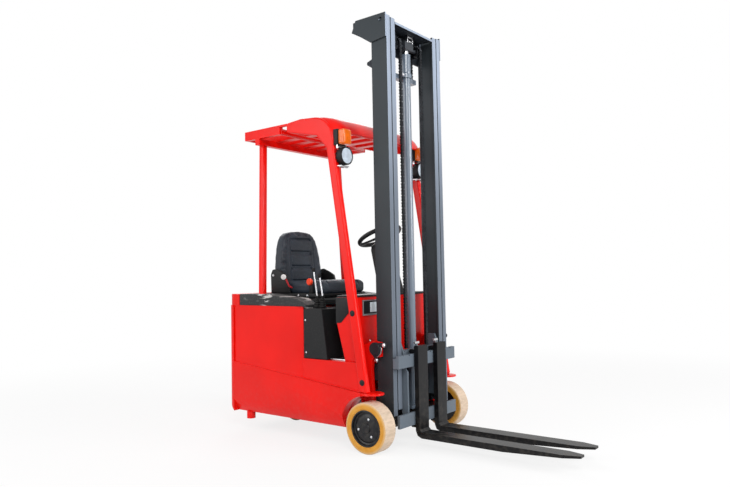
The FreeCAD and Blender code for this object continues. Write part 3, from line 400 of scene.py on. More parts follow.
# Making shapes
class Form:
    """Collects the faces of one piece."""

    def __init__(self):
        self.bm = bmesh.new()

    def take(self, part, bevel=0.0, segments=2, matrix=None):
        """Adds another bmesh, with its sharp edges bevelled."""
        bmesh.ops.remove_doubles(part, verts=part.verts, dist=0.001)
        bmesh.ops.recalc_face_normals(part, faces=part.faces)
        if bevel:
            sharp = [e for e in part.edges if len(e.link_faces) == 2 and e.calc_face_angle() > 0.5]
            bmesh.ops.bevel(part, geom=sharp, offset=bevel, segments=segments, affect="EDGES", profile=0.5)
        if matrix:
            bmesh.ops.transform(part, matrix=matrix, verts=part.verts)
        mesh = bpy.data.meshes.new("part")
        part.to_mesh(mesh)
        part.free()
        self.bm.from_mesh(mesh)
        bpy.data.meshes.remove(mesh)
        return self

    def prism(self, outline, plane, start, end, bevel=1.5, segments=2, matrix=None):
        """An outline in plane XZ, XY or YZ, between two places on the third axis."""
        part = bmesh.new()
        build = {"XZ": lambda a, b, t: (a, t, b), "XY": lambda a, b, t: (a, b, t),
                 "YZ": lambda a, b, t: (t, a, b)}[plane]
        rings = [[part.verts.new(build(a, b, t)) for a, b in outline] for t in (start, end)]
        for ring in rings:
            part.faces.new(ring)
        count = len(outline)
        for k in range(count):
            part.faces.new((rings[0][k], rings[0][(k + 1) % count], rings[1][(k + 1) % count], rings[1][k]))
        return self.take(part, bevel, segments, matrix)

    def block(self, low, high, bevel=1.5, segments=2, matrix=None):
        outline = [(low[0], low[1]), (high[0], low[1]), (high[0], high[1]), (low[0], high[1])]
        return self.prism(outline, "XY", low[2], high[2], bevel, segments, matrix)

    def turned(self, profile, centre, axis, steps=72, open_ends=False):
        """A turned form. The profile is (radius, distance along the axis)."""
        part = bmesh.new()
        turn = Vector((0, 0, 1)).rotation_difference(Vector(axis)).to_matrix().to_4x4()
        rings = []
        for k in range(steps):
            a = 2 * math.pi * k / steps
            rings.append([part.verts.new((r * math.cos(a), r * math.sin(a), h)) for r, h in profile])
        last = len(profile) - 1 if open_ends else len(profile)
        for k in range(steps):
            here = rings[k]
            there = rings[(k + 1) % steps]
            for j in range(last):
                n = (j + 1) % len(profile)
                part.faces.new((here[j], here[n], there[n], there[j]))
        bmesh.ops.remove_doubles(part, verts=part.verts, dist=0.001)
        bmesh.ops.dissolve_degenerate(part, edges=part.edges, dist=0.001)
        return self.take(part, matrix=Matrix.Translation(Vector(centre)) @ turn)

    def sweep(self, points, radius, sides=12, closed=False):
        """A round bar along a path."""
        part = bmesh.new()
        points = [Vector(p) for p in points]
        count = len(points)
        side = None
        rings = []
        for k, point in enumerate(points):
            before = points[k - 1] if k or closed else point
            after = points[(k + 1) % count] if k + 1 < count or closed else point
            along = (after - before).normalized()
            if side is None:
                side = along.orthogonal().normalized()
            side = (side - along * side.dot(along)).normalized()
            up = along.cross(side)
            angles = [2 * math.pi * j / sides for j in range(sides)]
            rings.append([part.verts.new(point + side * radius * math.cos(a) + up * radius * math.sin(a))
                          for a in angles])
        for k in range(count if closed else count - 1):
            here = rings[k]
            there = rings[(k + 1) % count]
            for j in range(sides):
                part.faces.new((here[j], here[(j + 1) % sides], there[(j + 1) % sides], there[j]))
        if not closed:
            part.faces.new(rings[0])
            part.faces.new(rings[-1])
        return self.take(part)

    def loft(self, rings):
        """A skin over rings of points, closed at both ends."""
        part = bmesh.new()
        rows = [[part.verts.new(p) for p in ring] for ring in rings]
        count = len(rows[0])
        for here, there in zip(rows, rows[1:]):
            for j in range(count):
                n = (j + 1) % count
                part.faces.new((here[j], here[n], there[n], there[j]))
        part.faces.new(rows[0])
        part.faces.new(rows[-1])
        return self.take(part)

    def bolt(self, place, axis, size=8.0):
        """A hexagon bolt head on its washer, with a dished top."""
        head = [(size * 1.15, 0), (size * 1.15, size * 0.18), (0, size * 0.18)]
        self.turned([(0, 0)] + head, place, axis, 24)
        top = Vector(place) + Vector(axis).normalized() * size * 0.18
        hexagon = [(0, 0), (size * 0.95, 0), (size * 0.95, size * 0.5), (size * 0.8, size * 0.62), (0, size * 0.62)]
        return self.turned(hexagon, top, axis, 6)

    def moved(self, matrix):
        bmesh.ops.transform(self.bm, matrix=matrix, verts=self.bm.verts)
        return self

    def copied(self, matrix):
        """Adds a copy of all faces so far, moved by the matrix."""
        part = self.bm.copy()
        bmesh.ops.transform(part, matrix=matrix, verts=part.verts)
        bmesh.ops.reverse_faces(part, faces=part.faces)
        return self.take(part)


def piece(name, form, finish, body, hides=(), sharp=38):
    """Turns a form into a named piece that rides on a body, if one is given."""
    mesh = bpy.data.meshes.new(name)
    for vertex in form.bm.verts:
        vertex.co = at(*vertex.co)
    bmesh.ops.recalc_face_normals(form.bm, faces=form.bm.faces)
    form.bm.to_mesh(mesh)
    form.bm.free()
    mesh.shade_smooth()
    mesh.set_sharp_from_angle(angle=math.radians(sharp))
    mesh.materials.append(finish)
    made = bpy.data.objects.new(name, mesh)
    bpy.context.scene.collection.objects.link(made)
    if body:
        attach(made, body)
    if hides:
        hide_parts(*hides)
    return made


def camera():
    """The photograph's view: place, direction and focal length."""
    yaw = math.radians(128.2115)
    pitch = math.radians(2.8133)
    roll = math.radians(-1.0579)
    focal_px = 661.57
    width_px = 730
    centre_px = (364.735, 241.02)
    middle_px = (365.0, 243.5)
    ahead = Vector((math.cos(yaw) * math.cos(pitch), math.sin(yaw) * math.cos(pitch), math.sin(pitch)))
    right = Vector((math.sin(yaw), -math.cos(yaw), 0))
    up = right.cross(ahead)
    rolled_right = math.cos(roll) * right + math.sin(roll) * up
    rolled_up = math.cos(roll) * up - math.sin(roll) * right
    data = bpy.data.cameras.new("camera")
    data.sensor_width = 36.0
    data.lens = focal_px / width_px * data.sensor_width
    data.shift_x = (middle_px[0] - centre_px[0]) / width_px
    data.shift_y = (centre_px[1] - middle_px[1]) / width_px
    made = bpy.data.objects.new("camera", data)
    turn = Matrix((rolled_right, rolled_up, -ahead)).transposed().to_4x4()
    made.matrix_world = Matrix.Translation(at(2316, -3368, 1005)) @ turn
    bpy.context.scene.collection.objects.link(made)
    bpy.context.scene.camera = made


def white_for_camera(f):
    """1 where the camera or a reflection sees the surround, 0 for its light on the object."""
    rays = f.node("ShaderNodeLightPath").socket.node.outputs
    seen = [Signal(f, rays[name]) for name in ("Is Camera Ray", "Is Glossy Ray", "Is Transmission Ray")]
    return seen[0].maths("MAXIMUM", seen[0], seen[1].maths("MAXIMUM", seen[1], seen[2]))


def studio():
    """Pale floor that fades to white, white surround, three soft lamps."""
    floor_half = 30.0
    near = 2.2
    far = 5.5
    f = Finish("floor")
    x, y, z = f.axes()
    distance = (x * x + y * y) ** 0.5
    tone = f.blend(f.noise(3), srgb(238, 238, 238), srgb(242, 242, 242))
    pale = f.node("ShaderNodeBsdfDiffuse", None, {"Color": tone})
    white = f.node("ShaderNodeEmission", None, {"Color": (1, 1, 1, 1), "Strength": 1.0})
    factor = white_for_camera(f) * (0.8 + distance.step(near, far) * 0.2)
    f.node_output(f.node("ShaderNodeMixShader", None, {0: factor, 1: pale, 2: white}))
    bm = bmesh.new()
    bmesh.ops.create_grid(bm, x_segments=2, y_segments=2, size=floor_half)
    mesh = bpy.data.meshes.new("floor")
    bm.to_mesh(mesh)
    bm.free()
    mesh.materials.append(f.material)
    floor = bpy.data.objects.new("floor", mesh)
    bpy.context.scene.collection.objects.link(floor)
    world = bpy.data.worlds.new("surround")
    world.use_nodes = True
    bpy.context.scene.world = world
    w = Finish.__new__(Finish)
    w.tree = world.node_tree
    w.tree.nodes.clear()
    soft = w.node("ShaderNodeBackground", None, {"Color": (1, 1, 1, 1), "Strength": 0.42})
    bright = w.node("ShaderNodeBackground", None, {"Color": (1, 1, 1, 1), "Strength": 1.0})
    mixed = w.node("ShaderNodeMixShader", None, {0: white_for_camera(w), 1: soft, 2: bright})
    output = w.tree.nodes.new("ShaderNodeOutputWorld")
    w.tree.links.new(mixed.socket, output.inputs["Surface"])
    lamps = (("key", (3.4, -3.6, 4.2), 2.6, 165), ("front", (5.0, 1.4, 2.4), 2.4, 165),
             ("fill", (-2.6, -4.6, 2.6), 3.0, 85), ("rear", (-4.0, 3.0, 3.6), 3.0, 90))
    for name, place, size, power in lamps:
        data = bpy.data.lights.new(name, "AREA")
        data.size = size
        data.energy = power
        lamp = bpy.data.objects.new(name, data)
        lamp.location = place
        lamp.rotation_euler = (Vector((0, 0, 1.0)) - Vector(place)).to_track_quat("-Z", "Y").to_euler()
        bpy.context.scene.collection.objects.link(lamp)
    bpy.context.scene.view_settings.view_transform = "Standard"


# Wheels
def front_wheel(side, name):
    """Cast tyre with soft shoulders, and a dished rim with a raised hub, cap and three bolts."""
    seat_r = 102.0
    soft = 11.0
    arc = [(soft * (1 - math.sin(a)), soft * (1 - math.cos(a))) for a in
           (math.pi / 2 * k / 6 for k in range(7))]
    out, inn = wheel_out, wheel_in
    profile = [(seat_r, inn + 3), (seat_r + 3, inn)]
    profile += [(wheel_r - d, inn + e) for e, d in arc[::-1]]
    profile += [(wheel_r - d, out - e) for e, d in arc]
    profile += [(seat_r + 6, out), (seat_r + 3, out - 3), (seat_r, out - 3)]
    centre = (0, 0, wheel_r)
    tyre = Form().turned([(r, h * side) for r, h in profile], centre, (0, 1, 0), 128)
    finish = polyurethane("tyre_" + name, at(0, 0, wheel_r))
    piece("tyre_" + name, tyre, finish, "front_wheel_" + name, ("front_tyre_" + name,), 30)
    flange = [(24, inn + 20), (seat_r - 0.5, inn + 20), (seat_r - 0.5, out - 2), (seat_r - 4, out - 0.5),
              (seat_r - 9, out - 1), (seat_r - 13, out - 14), (82, out - 17), (74, out - 13),
              (68, out - 10), (30, out - 8), (24, out - 9)]
    rim = Form().turned([(r, h * side) for r, h in flange], centre, (0, 1, 0), 96)
    cap = [(0, out - 20), (28, out - 20), (28, out - 5), (25, out - 2), (0, out - 1)]
    rim.turned([(r, h * side) for r, h in cap], centre, (0, 1, 0), 48)
    piece("rim_" + name, rim, rim_black, "front_wheel_" + name, ("front_rim_" + name,), 30)
    bolts = Form()
    bolt_circle = 55.0
    first_angle = 71.0
    for k in range(3):
        a = math.radians(first_angle + 120 * k)
        place = (bolt_circle * math.cos(a), side * (out - 9), wheel_r + bolt_circle * math.sin(a))
        bolts.bolt(place, (0, side, 0), 6.0)
    piece("rim_bolts_" + name, bolts, steel, "front_wheel_" + name)


def steering_wheel():
    """Black wheel: grip, three flat spokes, hub with its cap."""
    low, high = node_box("steering_wheel")
    centre = Vector((-252, (low.y + high.y) / 2, 1246))
    lean = math.radians(-24)
    grip_r = 14.0
    path_r = (high.y - low.y) / 2 - grip_r
    ring = [(path_r * math.cos(a), path_r * math.sin(a), 0) for a in (2 * math.pi * k / 72 for k in range(72))]
    form = Form().sweep(ring, grip_r, 14, closed=True)
    form.turned([(0, -40), (30, -40), (34, -30), (34, -6), (30, 0), (20, 4), (0, 5)], (0, 0, 0), (0, 0, 1), 48)
    for k in range(3):
        turn = Matrix.Rotation(math.radians(120 * k + 90), 4, "Z")
        spoke = [(20, -17), (70, -12), (path_r, -15), (path_r, 15), (70, 12), (20, 17)]
        form.prism(spoke, "XY", -14, -4, 3.0, 3, turn)
    form.moved(Matrix.Translation(centre) @ Matrix.Rotation(lean, 4, "Y"))
    piece("steering_ring", form, plastic, "steering_wheel", ("steering_wheel",))
    shroud = Form()
    middle_y = centre.y
    sections = []
    for x, z, half, tilt in ((-160, 872, 64, 0.0), (-185, 963, 60, 0.1), (-208, 1060, 58, 0.2),
                             (-232, 1168, 57, 0.32), (-240, 1196, 50, 0.36), (-243, 1207, 34, 0.38)):
        ring = []
        for k in range(24):
            a = 2 * math.pi * k / 24
            wide = half / max(abs(math.cos(a)), abs(math.sin(a))) ** 0.72
            ring.append((x + wide * math.cos(a), middle_y + wide * math.sin(a), z + wide * math.cos(a) * tilt))
        sections.append(ring)
    shroud.loft(sections)
    piece("column_shroud", shroud, plastic, "chassis", ("steering_column",), 50)


def levers():
    """Two control levers: ribbed boots, pale rods, small knobs."""
    console_top = 800.0
    boots = Form()
    rods = Form()
    for x, lean, top in ((-412, -28, 1046), (-368, -24, 1010)):
        profile = [(26, 0), (26, 4)]
        for k in range(5):
            wide = 22 - 2.6 * k
            z = 5 + 14 * k
            profile += [(wide - 6, z), (wide - 1, z + 3), (wide, z + 7), (wide - 1, z + 11)]
        profile += [(7, 76), (7, 0)]
        boots.turned(profile, (x, -380, console_top), (0, 0, 1), 40)
        foot = Vector((x, -380, console_top + 66))
        head = Vector((x + lean, -380, top - 12))
        rods.sweep([foot, (foot + head) / 2 + Vector((2, 0, 0)), head], 4.6, 16)
        boots.turned([(0, -14), (7, -14), (10, -6), (11, 4), (8, 11), (0, 12)], head, (lean * 0.3, 0, 100), 28)
    piece("lever_boots", boots, rubber, "chassis", ("control_levers",))
    piece("lever_rods", rods, steel, "chassis")


def lamps():
    """Work lamps with cooling fins, bezel, clear lens over a reflector, on steel brackets, and indicators."""
    lamp_y, lamp_z = 398.0, 1698.0
    back, front = -193.0, -141.0
    for side, name in zip(SIDES, ("right", "left")):
        centre = (0, side * lamp_y, lamp_z)
        shell = [(0, back), (42, back), (47, back + 4), (50, back + 14), (54, back + 22), (55, front - 8),
                 (54, front - 1), (51, front + 2), (46, front - 1), (46, front - 8), (0, front - 8)]
        form = Form().turned(shell, centre, (1, 0, 0), 72)
        for k in range(14):
            turn = Matrix.Translation(centre) @ Matrix.Rotation(2 * math.pi * k / 14, 4, "X")
            form.block((back + 3, -1.6, 46), (back + 26, 1.6, 54), 0.6, 1, turn)
        base_y = (side * (lamp_y - 34), side * (lamp_y + 44))
        form.block((-212, min(base_y), 1762), (-178, max(base_y), 1858), 4, 3)
        form.block((-200, side * lamp_y - 30, lamp_z - 64), (-192, side * lamp_y + 30, lamp_z + 30), 2)
        piece("lamp_body_" + name, form, plastic, "chassis",
              ("lamp_housings",) if side < 0 else ())
        cups = Form()
        for y, z in [(0, 0)] + [(27 * math.cos(a), 27 * math.sin(a)) for a in (math.pi * k / 3 for k in range(6))]:
            cup = [(3, front - 16), (7, front - 14), (11, front - 9), (12.5, front - 5), (13, front - 5),
                   (13, front - 8), (3, front - 18)]
            cups.turned(cup, (0, side * lamp_y + y, lamp_z + z), (1, 0, 0), 24)
        cups.turned([(0, front - 9.5), (45, front - 9.5), (45, front - 8.5), (0, front - 8.5)], centre, (1, 0, 0), 48)
        piece("lamp_cups_" + name, cups, reflector, "chassis")
        pane = [(0, front - 3.5), (45.5, front - 3.5), (45.5, front - 1.5), (28, front), (0, front + 0.6)]
        piece("lamp_pane_" + name, Form().turned(pane, centre, (1, 0, 0), 60), glass_white, "chassis",
              ("lamp_lenses",) if side < 0 else ())
        y0, y1 = sorted((side * (lamp_y - 32), side * (lamp_y + 40)))
        light = Form().block((-178, y0, 1766), (-130, y1, 1854), 10, 4)
        for k in range(1, 9):
            z = 1766 + 88 * k / 9
            light.block((-172, y0 - 1, z - 1.5), (-134, y1 + 1, z + 1.5), 1)
        piece("indicator_" + name, light, amber, "chassis",
              ("indicator_lenses",) if side < 0 else ())
        bracket = Form()
        inner, outer = lamp_y - 62, lamp_y + 30
        sheet = [(side * outer, 1872), (side * inner, 1884), (side * (inner - 22), 1762), (side * (inner + 20), 1740),
                 (side * (inner + 30), 1752), (side * (outer - 6), 1752)]
        bracket.prism(sheet, "YZ", -218, -213, 1)
        foot = [(side * (lamp_y - 40), lamp_z - 62), (side * (lamp_y + 40), lamp_z - 62),
                (side * (lamp_y + 40), lamp_z - 57), (side * (lamp_y - 40), lamp_z - 57)]
        bracket.prism(foot, "YZ", -205, -160, 1)
        for k in SIDES:
            bracket.bolt((-172, side * lamp_y + k * 30, lamp_z - 62), (0, 0, -1), 7)
            bracket.block((-176, side * lamp_y + k * 56 - 2, lamp_z + 40), (-166, side * lamp_y + k * 56 + 2, lamp_z + 62), 1)
            bracket.bolt((-190, side * lamp_y + k * 24, 1752), (0, 0, -1), 6)
        piece("lamp_brackets_" + name, bracket, steel, "chassis")


# Mast pieces
def chain_strand(x, y, z0, z1, depth, width):
    """A leaf chain: rows of waisted plates that join each pin to the next, every other row shifted."""
    pitch = 19.05
    rows = 5
    leaf = width / rows
    form = Form()
    count = int((z1 - z0) / pitch)
    step = (z1 - z0) / count
    half = depth / 2
    waist = half * 0.5
    for k in range(count):
        low = z0 + step * (k + 0.5)
        high = min(low + step, z1)
        for row in range(k % 2, rows, 2):
            outline = []
            for centre, start in ((high, 0), (low, 180)):
                outline += [(half * math.cos(math.radians(start + a)), centre + half * math.sin(math.radians(start + a)))
                            for a in (20, 65, 115, 160)]
                outline.append((-waist if start == 0 else waist, (low + high) / 2))
            y0 = y - width / 2 + leaf * row
            form.prism([(x + a, b) for a, b in outline], "XZ", y0 + 0.3, y0 + leaf - 0.3, 0)
        form.turned([(0, -width / 2 - 1), (2.8, -width / 2 - 1), (2.8, width / 2 + 1), (0, width / 2 + 1)],
                    (x, y, low), (0, 1, 0), 8)
    return form


def chains():
    """Front strands run down to the carriage and ride on the inner mast, rear strands join the cylinder's anchor to the
    sheaves.
    """
    low, high = node_box("lift_chains")
    rear_low, rear_high = node_box("lift_chain_ends")
    sheave_low, sheave_high = node_box("chain_sheaves")
    sheave_z = (sheave_low.z + sheave_high.z) / 2
    sheave_x = (sheave_low.x + sheave_high.x) / 2
    pad = rear_high.x - rear_low.x
    depth = 17.0
    front_x = high.x - pad / 2
    rear_x = rear_low.x + pad / 2
    width = 22.0
    chain_y = high.y - width / 2
    for side, name in zip(SIDES, ("right", "left")):
        y = side * chain_y
        front = chain_strand(front_x, y, low.z, sheave_z, depth, width)
        made = piece("chain_front_" + name, front, chain_steel, "mast_inner",
                     ("lift_chains",) if side < 0 else ())
        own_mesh(made)
        wrap = Form()
        radius = front_x - sheave_x
        links = 7
        for k in range(links):
            a = math.pi * (k + 0.5) / links
            turn = Matrix.Translation((sheave_x, 0, sheave_z)) @ Matrix.Rotation(math.pi / 2 - a, 4, "Y")
            for row in range(5):
                y0 = y - width / 2 + width / 5 * row
                half = math.pi * radius / links / 2 + (0 if row % 2 else 0.6)
                wrap.block((-half, y0 + 0.3, radius - depth / 2), (half, y0 + width / 5 - 0.3, radius + depth / 2), 2.4, 1, turn)
        piece("chain_wrap_" + name, wrap, chain_steel, "mast_inner")
        rear = chain_strand(rear_x, y, rear_low.z, sheave_z, depth, width)
        made = piece("chain_rear_" + name, rear, chain_steel, None,
                     ("lift_chain_ends",) if side < 0 else ())
        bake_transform(made)


def trunnion_caps():
    """Half caps that clamp the mast's pins, each with two bolts, a pale steel arc on part of the rim that is a painted
    highlight, and a grease nipple.
    """
    cap_x, cap_z = -14.0, 571.0
    face = 325.2
    bolts_at = ((66, 25), (12, -64))
    for side, name in zip(SIDES, ("right", "left")):
        cap = Form()
        arc = [(cap_x + 47 * math.cos(a), cap_z + 47 * math.sin(a)) for a in
               (math.radians(-78 + 96 * k / 8) for k in range(9))]
        ear_a = [(cap_x + 66 + 15 * math.cos(a), cap_z + 25 + 15 * math.sin(a)) for a in
                 (math.radians(-60 + 170 * k / 6) for k in range(7))]
        ear_b = [(cap_x + 12 + 15 * math.cos(a), cap_z - 64 + 15 * math.sin(a)) for a in
                 (math.radians(150 + 170 * k / 6) for k in range(7))]
        outline = ear_b + arc + ear_a + [(cap_x + 20, cap_z + 36), (cap_x - 22, cap_z - 30)]
        cap.prism(outline, "XZ", side * face, side * (face + 10), 2)
        cap.turned([(0, side * face), (38, side * face), (38, side * (face + 12)), (35, side * (face + 15)),
                    (0, side * (face + 15))], (cap_x, 0, cap_z), (0, 1, 0), 64)
        piece("pivot_cap_" + name, cap, mast_painted_shade, "chassis")
        bright = Form()
        for x, z in bolts_at:
            bright.bolt((cap_x + x, side * (face + 10), cap_z + z), (0, side, 0), 10)
        # Pale steel arc along part of the cap's rim: a painted highlight where light catches the edge.
        rim = [(cap_x + r * math.cos(a), cap_z + r * math.sin(a)) for r, turn in ((49.5, 1), (46.5, -1)) for a in
               [math.radians(-72 + 84 * k / 12) for k in range(13)][::turn]]
        bright.prism(rim, "XZ", side * (face + 4), side * (face + 11.5), 0.8)
        bright.turned([(0, 0), (4, 0), (4, 6), (2, 9), (3, 12), (0, 14)], (-60, side * (face - 10), 612), (0, 0, 1), 16)
        piece("pivot_bolts_" + name, bright, steel, "chassis")


def mast_top():
    """Cover plate between the inner rails with its front edge strip, whose forward face carries the painted reflection
    of the mast paint, rod bracket, clamp and brackets.
    """
    low, high = node_box("mast_inner_ties")
    half = 204.0
    cover = Form().block((-40, -half, 2486), (high.x - 14, half, 2496))
    # The cover takes the darker copy of the mast paint: painted shade.
    piece("mast_top_cover", cover, mast_painted_shade, "mast_inner")
    # Front edge strip in the mast paint: its forward face shows that paint's painted reflection.
    edge = Form().block((high.x - 0.5, -half, 2484), (high.x + 1, half, 2498), 0.5)
    piece("mast_top_edge", edge, mast_grey, "mast_inner")
    saddle = Form()
    for y0, y1, z0, z1 in ((2, 10, 2440, 2492), (56, 64, 2440, 2492), (2, 64, 2472, 2484), (20, 64, 2448, 2456)):
        saddle.block((20, y0, z0), (32, y1, z1), 1.5)
    piece("rod_saddle", saddle, steel, "mast_inner")
    clamp = Form()
    clamp.turned([(31, 2212), (35, 2212), (35, 2238), (31, 2238)], (16, 0, 0), (0, 0, 1), 40)
    clamp.block((16, -70, 2214), (30, -34, 2236), 3)
    piece("cylinder_clamp", clamp, tube_grey, "mast_outer")
    small = Form()
    small.block((2, 34, 2140), (12, 46, 2204), 2)
    wedge = [(-29, 2221), (-66, 2246), (-66, 2262), (-29, 2275)]
    small.prism(wedge, "XZ", -290, -262, 2)
    small.prism(wedge, "XZ", 262, 290, 2)
    piece("mast_brackets", small, mast_painted_shade, "mast_outer")
    nut = Form().bolt((31, -52, 2225), (1, 0, 0), 8)
    piece("clamp_bolt", nut, steel, "mast_outer")


# Guard and fenders
def guard():
    """Rear legs that lean inwards, front roof with a plate bent over the hoop's corner."""
    legs = Form()
    half = 20.0
    for side in SIDES:
        rings = []
        for x, y, z in ((-853, 418, 830), (-878, 374, 1866)):
            ring = []
            for k in range(32):
                a = 2 * math.pi * k / 32
                wide = half / max(abs(math.cos(a)), abs(math.sin(a))) ** 0.62
                ring.append((x + wide * math.cos(a), side * y + wide * math.sin(a), z))
            rings.append(ring)
        legs.loft(rings)
    piece("guard_legs_behind", legs, red, "chassis", ("guard_rear_legs",), 60)
    roof = Form()
    arm_in = 412.0
    hoop_x, hoop_z, hoop_r = -440.0, 1734.0, 234.0
    bend = [(-156, 1840), (-170, 1868), (-188, 1894), (-212, 1918), (-244, 1936), (-282, 1946)]
    on_hoop = [(hoop_x + hoop_r * math.cos(a), hoop_z + hoop_r * math.sin(a)) for a in
               (math.radians(26 + 38 * k / 5) for k in range(6))]
    thick = Vector((-8, -6))
    rows = []
    for y, ahead, rise in ((449, 0.0, 0), (436, 0.4, 0), (420, 0.75, 0), (396, 0.95, 0), (360, 1.0, 1), (200, 1.0, 6)):
        skin = [Vector(a).lerp(Vector(b), ahead) + Vector((0, rise)) for a, b in zip(on_hoop, bend)]
        rows.append([(p.x, -y, p.y) for p in skin + [p + thick for p in skin[::-1]]])
    rows += [[(x, -y, z) for x, y, z in row] for row in rows[::-1]]
    roof.loft(rows)
    roof.block((-246, -arm_in, 1862), (-236, arm_in, 1926), 2)
    roof.block((-590, -arm_in, 1894), (-578, arm_in, 1946), 2)
    for k in range(-2, 3):
        roof.block((-584, k * 130 - 30, 1890), (-240, k * 130 + 30, 1930), 5, 3)
    piece("guard_roof_ahead", roof, red, "chassis", ("guard_front_roof",), 40)
    bar = Form()
    bar.block((-662, -424, 1898), (-656, 424, 1928), 2)
    piece("roof_bar_edge", bar, bar_red, "chassis")
    screws = Form()
    for y in (-139, 139):
        for z in (1900, 1868):
            screws.bolt((-236, y, z), (1, 0, 0), 7)
    piece("roof_screws", screws, steel, "chassis")


def fenders():
    """Flat plates with a half-round end over the front wheels, with the arch's liner behind."""
    inner, outer, back = 334.0, 454.0, -10.0
    band = 400.0
    top, thick = 334.0, 10.0
    tip_x = 19.0
    middle = (inner + outer) / 2
    r = (outer - inner) / 2
    arch, liner = 178.0, 6.0
    form = Form()
    for side in SIDES:
        outline = [(back, side * inner)]
        outline += [(tip_x + r * math.cos(a), side * (middle + r * math.sin(a))) for a in
                    (math.radians(-90 + 180 * k / 16) for k in range(17))]
        outline += [(tip_x, side * band), (back, side * band)]
        form.prism(outline, "XY", top - thick, top, 2.5)
        low, high = math.asin((140 - wheel_r) / arch), math.pi / 2
        angles = [low + (high - low) * k / 24 for k in range(25)]
        sheet = [(-arch * math.cos(a), wheel_r + arch * math.sin(a)) for a in angles]
        sheet += [(-(arch + liner) * math.cos(a), wheel_r + (arch + liner) * math.sin(a)) for a in angles[::-1]]
        form.prism(sheet, "XZ", side * inner, side * band, 0.5)
    piece("wheel_fenders", form, red, "chassis", ("front_fenders",))


# Body fittings
def fittings():
    """Caps on the guard's legs, console screws, guard bolts, floor mat, display."""
    caps = Form()
    for side in SIDES:
        for x, z in ((-81, 780), (-19, 394)):
            caps.turned([(0, side * 448), (17, side * 448), (17, side * 452), (14, side * 454.5), (0, side * 455.5)],
                        (x, 0, z), (0, 1, 0), 32)
    piece("leg_caps", caps, plastic, "chassis")
    screws = Form()
    for x, z in ((-462, 730), (-458, 537)):
        screws.bolt((x, -434, z), (0, -1, 0), 5)
    for side in SIDES:
        for x in (-960, -700):
            screws.bolt((x, side * 420, 1952), (0, 0, 1), 7)
    piece("body_screws", screws, steel, "chassis")
    mat = Form()
    mat.block((-470, -275, 500), (-125, 400, 504), 1.5)
    mat.block((-284, -402, 500), (-125, -275, 504), 1.5)
    for k in range(16):
        x = -455 + 20 * k
        mat.block((x, -265, 503), (x + 8, 395, 506), 1)
    piece("floor_mat", mat, rubber, "chassis")
    edging = Form().block((-286, -411, 500), (-125, -403, 509), 1.5)
    piece("floor_edging", edging, steel, "chassis")
    panels = Form()
    for side in SIDES:
        outline = [(-234, 718), (-234, 868), (-122, 868), (-122, 796), (-168, 748), (-196, 722)]
        panels.prism(outline, "XZ", side * 412.2, side * 416, 1.2)
    panels.block((-237, -412, 712), (-232.5, 412, 868), 1.2)
    piece("dash_panels", panels, plastic, "chassis")
    low, high = node_box("display_frame")
    bezel = Form()
    bezel.block((low.x, low.y, low.z), (high.x - 1, high.y, high.z), 3, 3)
    piece("display_bezel", bezel, plastic, "chassis", ("display_frame",))
    rim = Form()
    for y0, y1, z0, z1 in ((low.y - 5, high.y + 5, low.z - 6, low.z + 4), (low.y - 5, high.y + 5, high.z - 2, high.z + 5),
                           (low.y - 5, low.y + 2, low.z, high.z), (high.y - 6, high.y + 5, low.z, high.z)):
        rim.block((low.x, y0, z0), (high.x, y1, z1), 2)
    piece("display_rim", rim, grey_plastic, "chassis")
    pale = Form().block((high.x - 2, low.y + 62, low.z + 12), (high.x + 1, high.y - 14, high.z - 10), 1.2)
    piece("display_face", pale, pale_plastic, "chassis")


# Seat
def cloth_pad(name, form, cap, pressure=4.0):
    """Swells a closed form as filled, sewn cloth does. No point moves by more than the cap."""
    voxel = 0.006
    mesh = bpy.data.meshes.new(name)
    for vertex in form.bm.verts:
        vertex.co = at(*vertex.co)
    form.bm.to_mesh(mesh)
    form.bm.free()
    made = bpy.data.objects.new(name, mesh)
    bpy.context.scene.collection.objects.link(made)
    remesh = made.modifiers.new("remesh", "REMESH")
    remesh.mode = "VOXEL"
    remesh.voxel_size = voxel
    made.data = evaluated(made)
    made.modifiers.clear()
    rest = [v.co.copy() for v in made.data.vertices]
    cloth = made.modifiers.new("cloth", "CLOTH")
    cloth.settings.use_pressure = True
    cloth.settings.uniform_pressure_force = pressure
    cloth.settings.effector_weights.gravity = 0
    cloth.settings.tension_stiffness = 12
    cloth.settings.quality = 5
    for number in range(1, 21):
        bpy.context.scene.frame_set(number)
    made.data = evaluated(made)
    made.modifiers.clear()
    bpy.context.scene.frame_set(1)
    for vertex, home in zip(made.data.vertices, rest):
        shift = vertex.co - home
        if shift.length > cap:
            vertex.co = home + shift * (cap / shift.length)
    return made


def evaluated(made):
    """The mesh that an object's modifiers give."""
    graph = bpy.context.evaluated_depsgraph_get()
    graph.update()
    return bpy.data.meshes.new_from_object(made.evaluated_get(graph))


def groove(distance, width, depth):
    """How far a sewn channel sinks at a distance from its line."""
    return depth * math.exp(-(distance / width) ** 2)


def box_distance(a, b, centre, half, corner):
    """Distance from a rounded rectangle's line."""
    dx = abs(a - centre[0]) - half[0] + corner
    dy = abs(b - centre[1]) - half[1] + corner
    outside = math.hypot(max(dx, 0), max(dy, 0))
    return abs(outside + min(max(dx, dy), 0) - corner)


def sew(made, sink):
    """Moves each point inwards along its normal by sink(point, normal) millimetres."""
    mesh = made.data
    normals = [v.normal.copy() for v in mesh.vertices]
    for vertex, normal in zip(mesh.vertices, normals):
        vertex.co = vertex.co - normal * sink(drawn(vertex.co), normal) * MM


def finish_pad(made, body, node):
    smooth = made.modifiers.new("smooth", "SUBSURF")
    smooth.levels = 1
    smooth.render_levels = 1
    made.data.shade_smooth()
    made.data.materials.clear()
    made.data.materials.append(seat_cloth)
    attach(made, body)
    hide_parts(node)


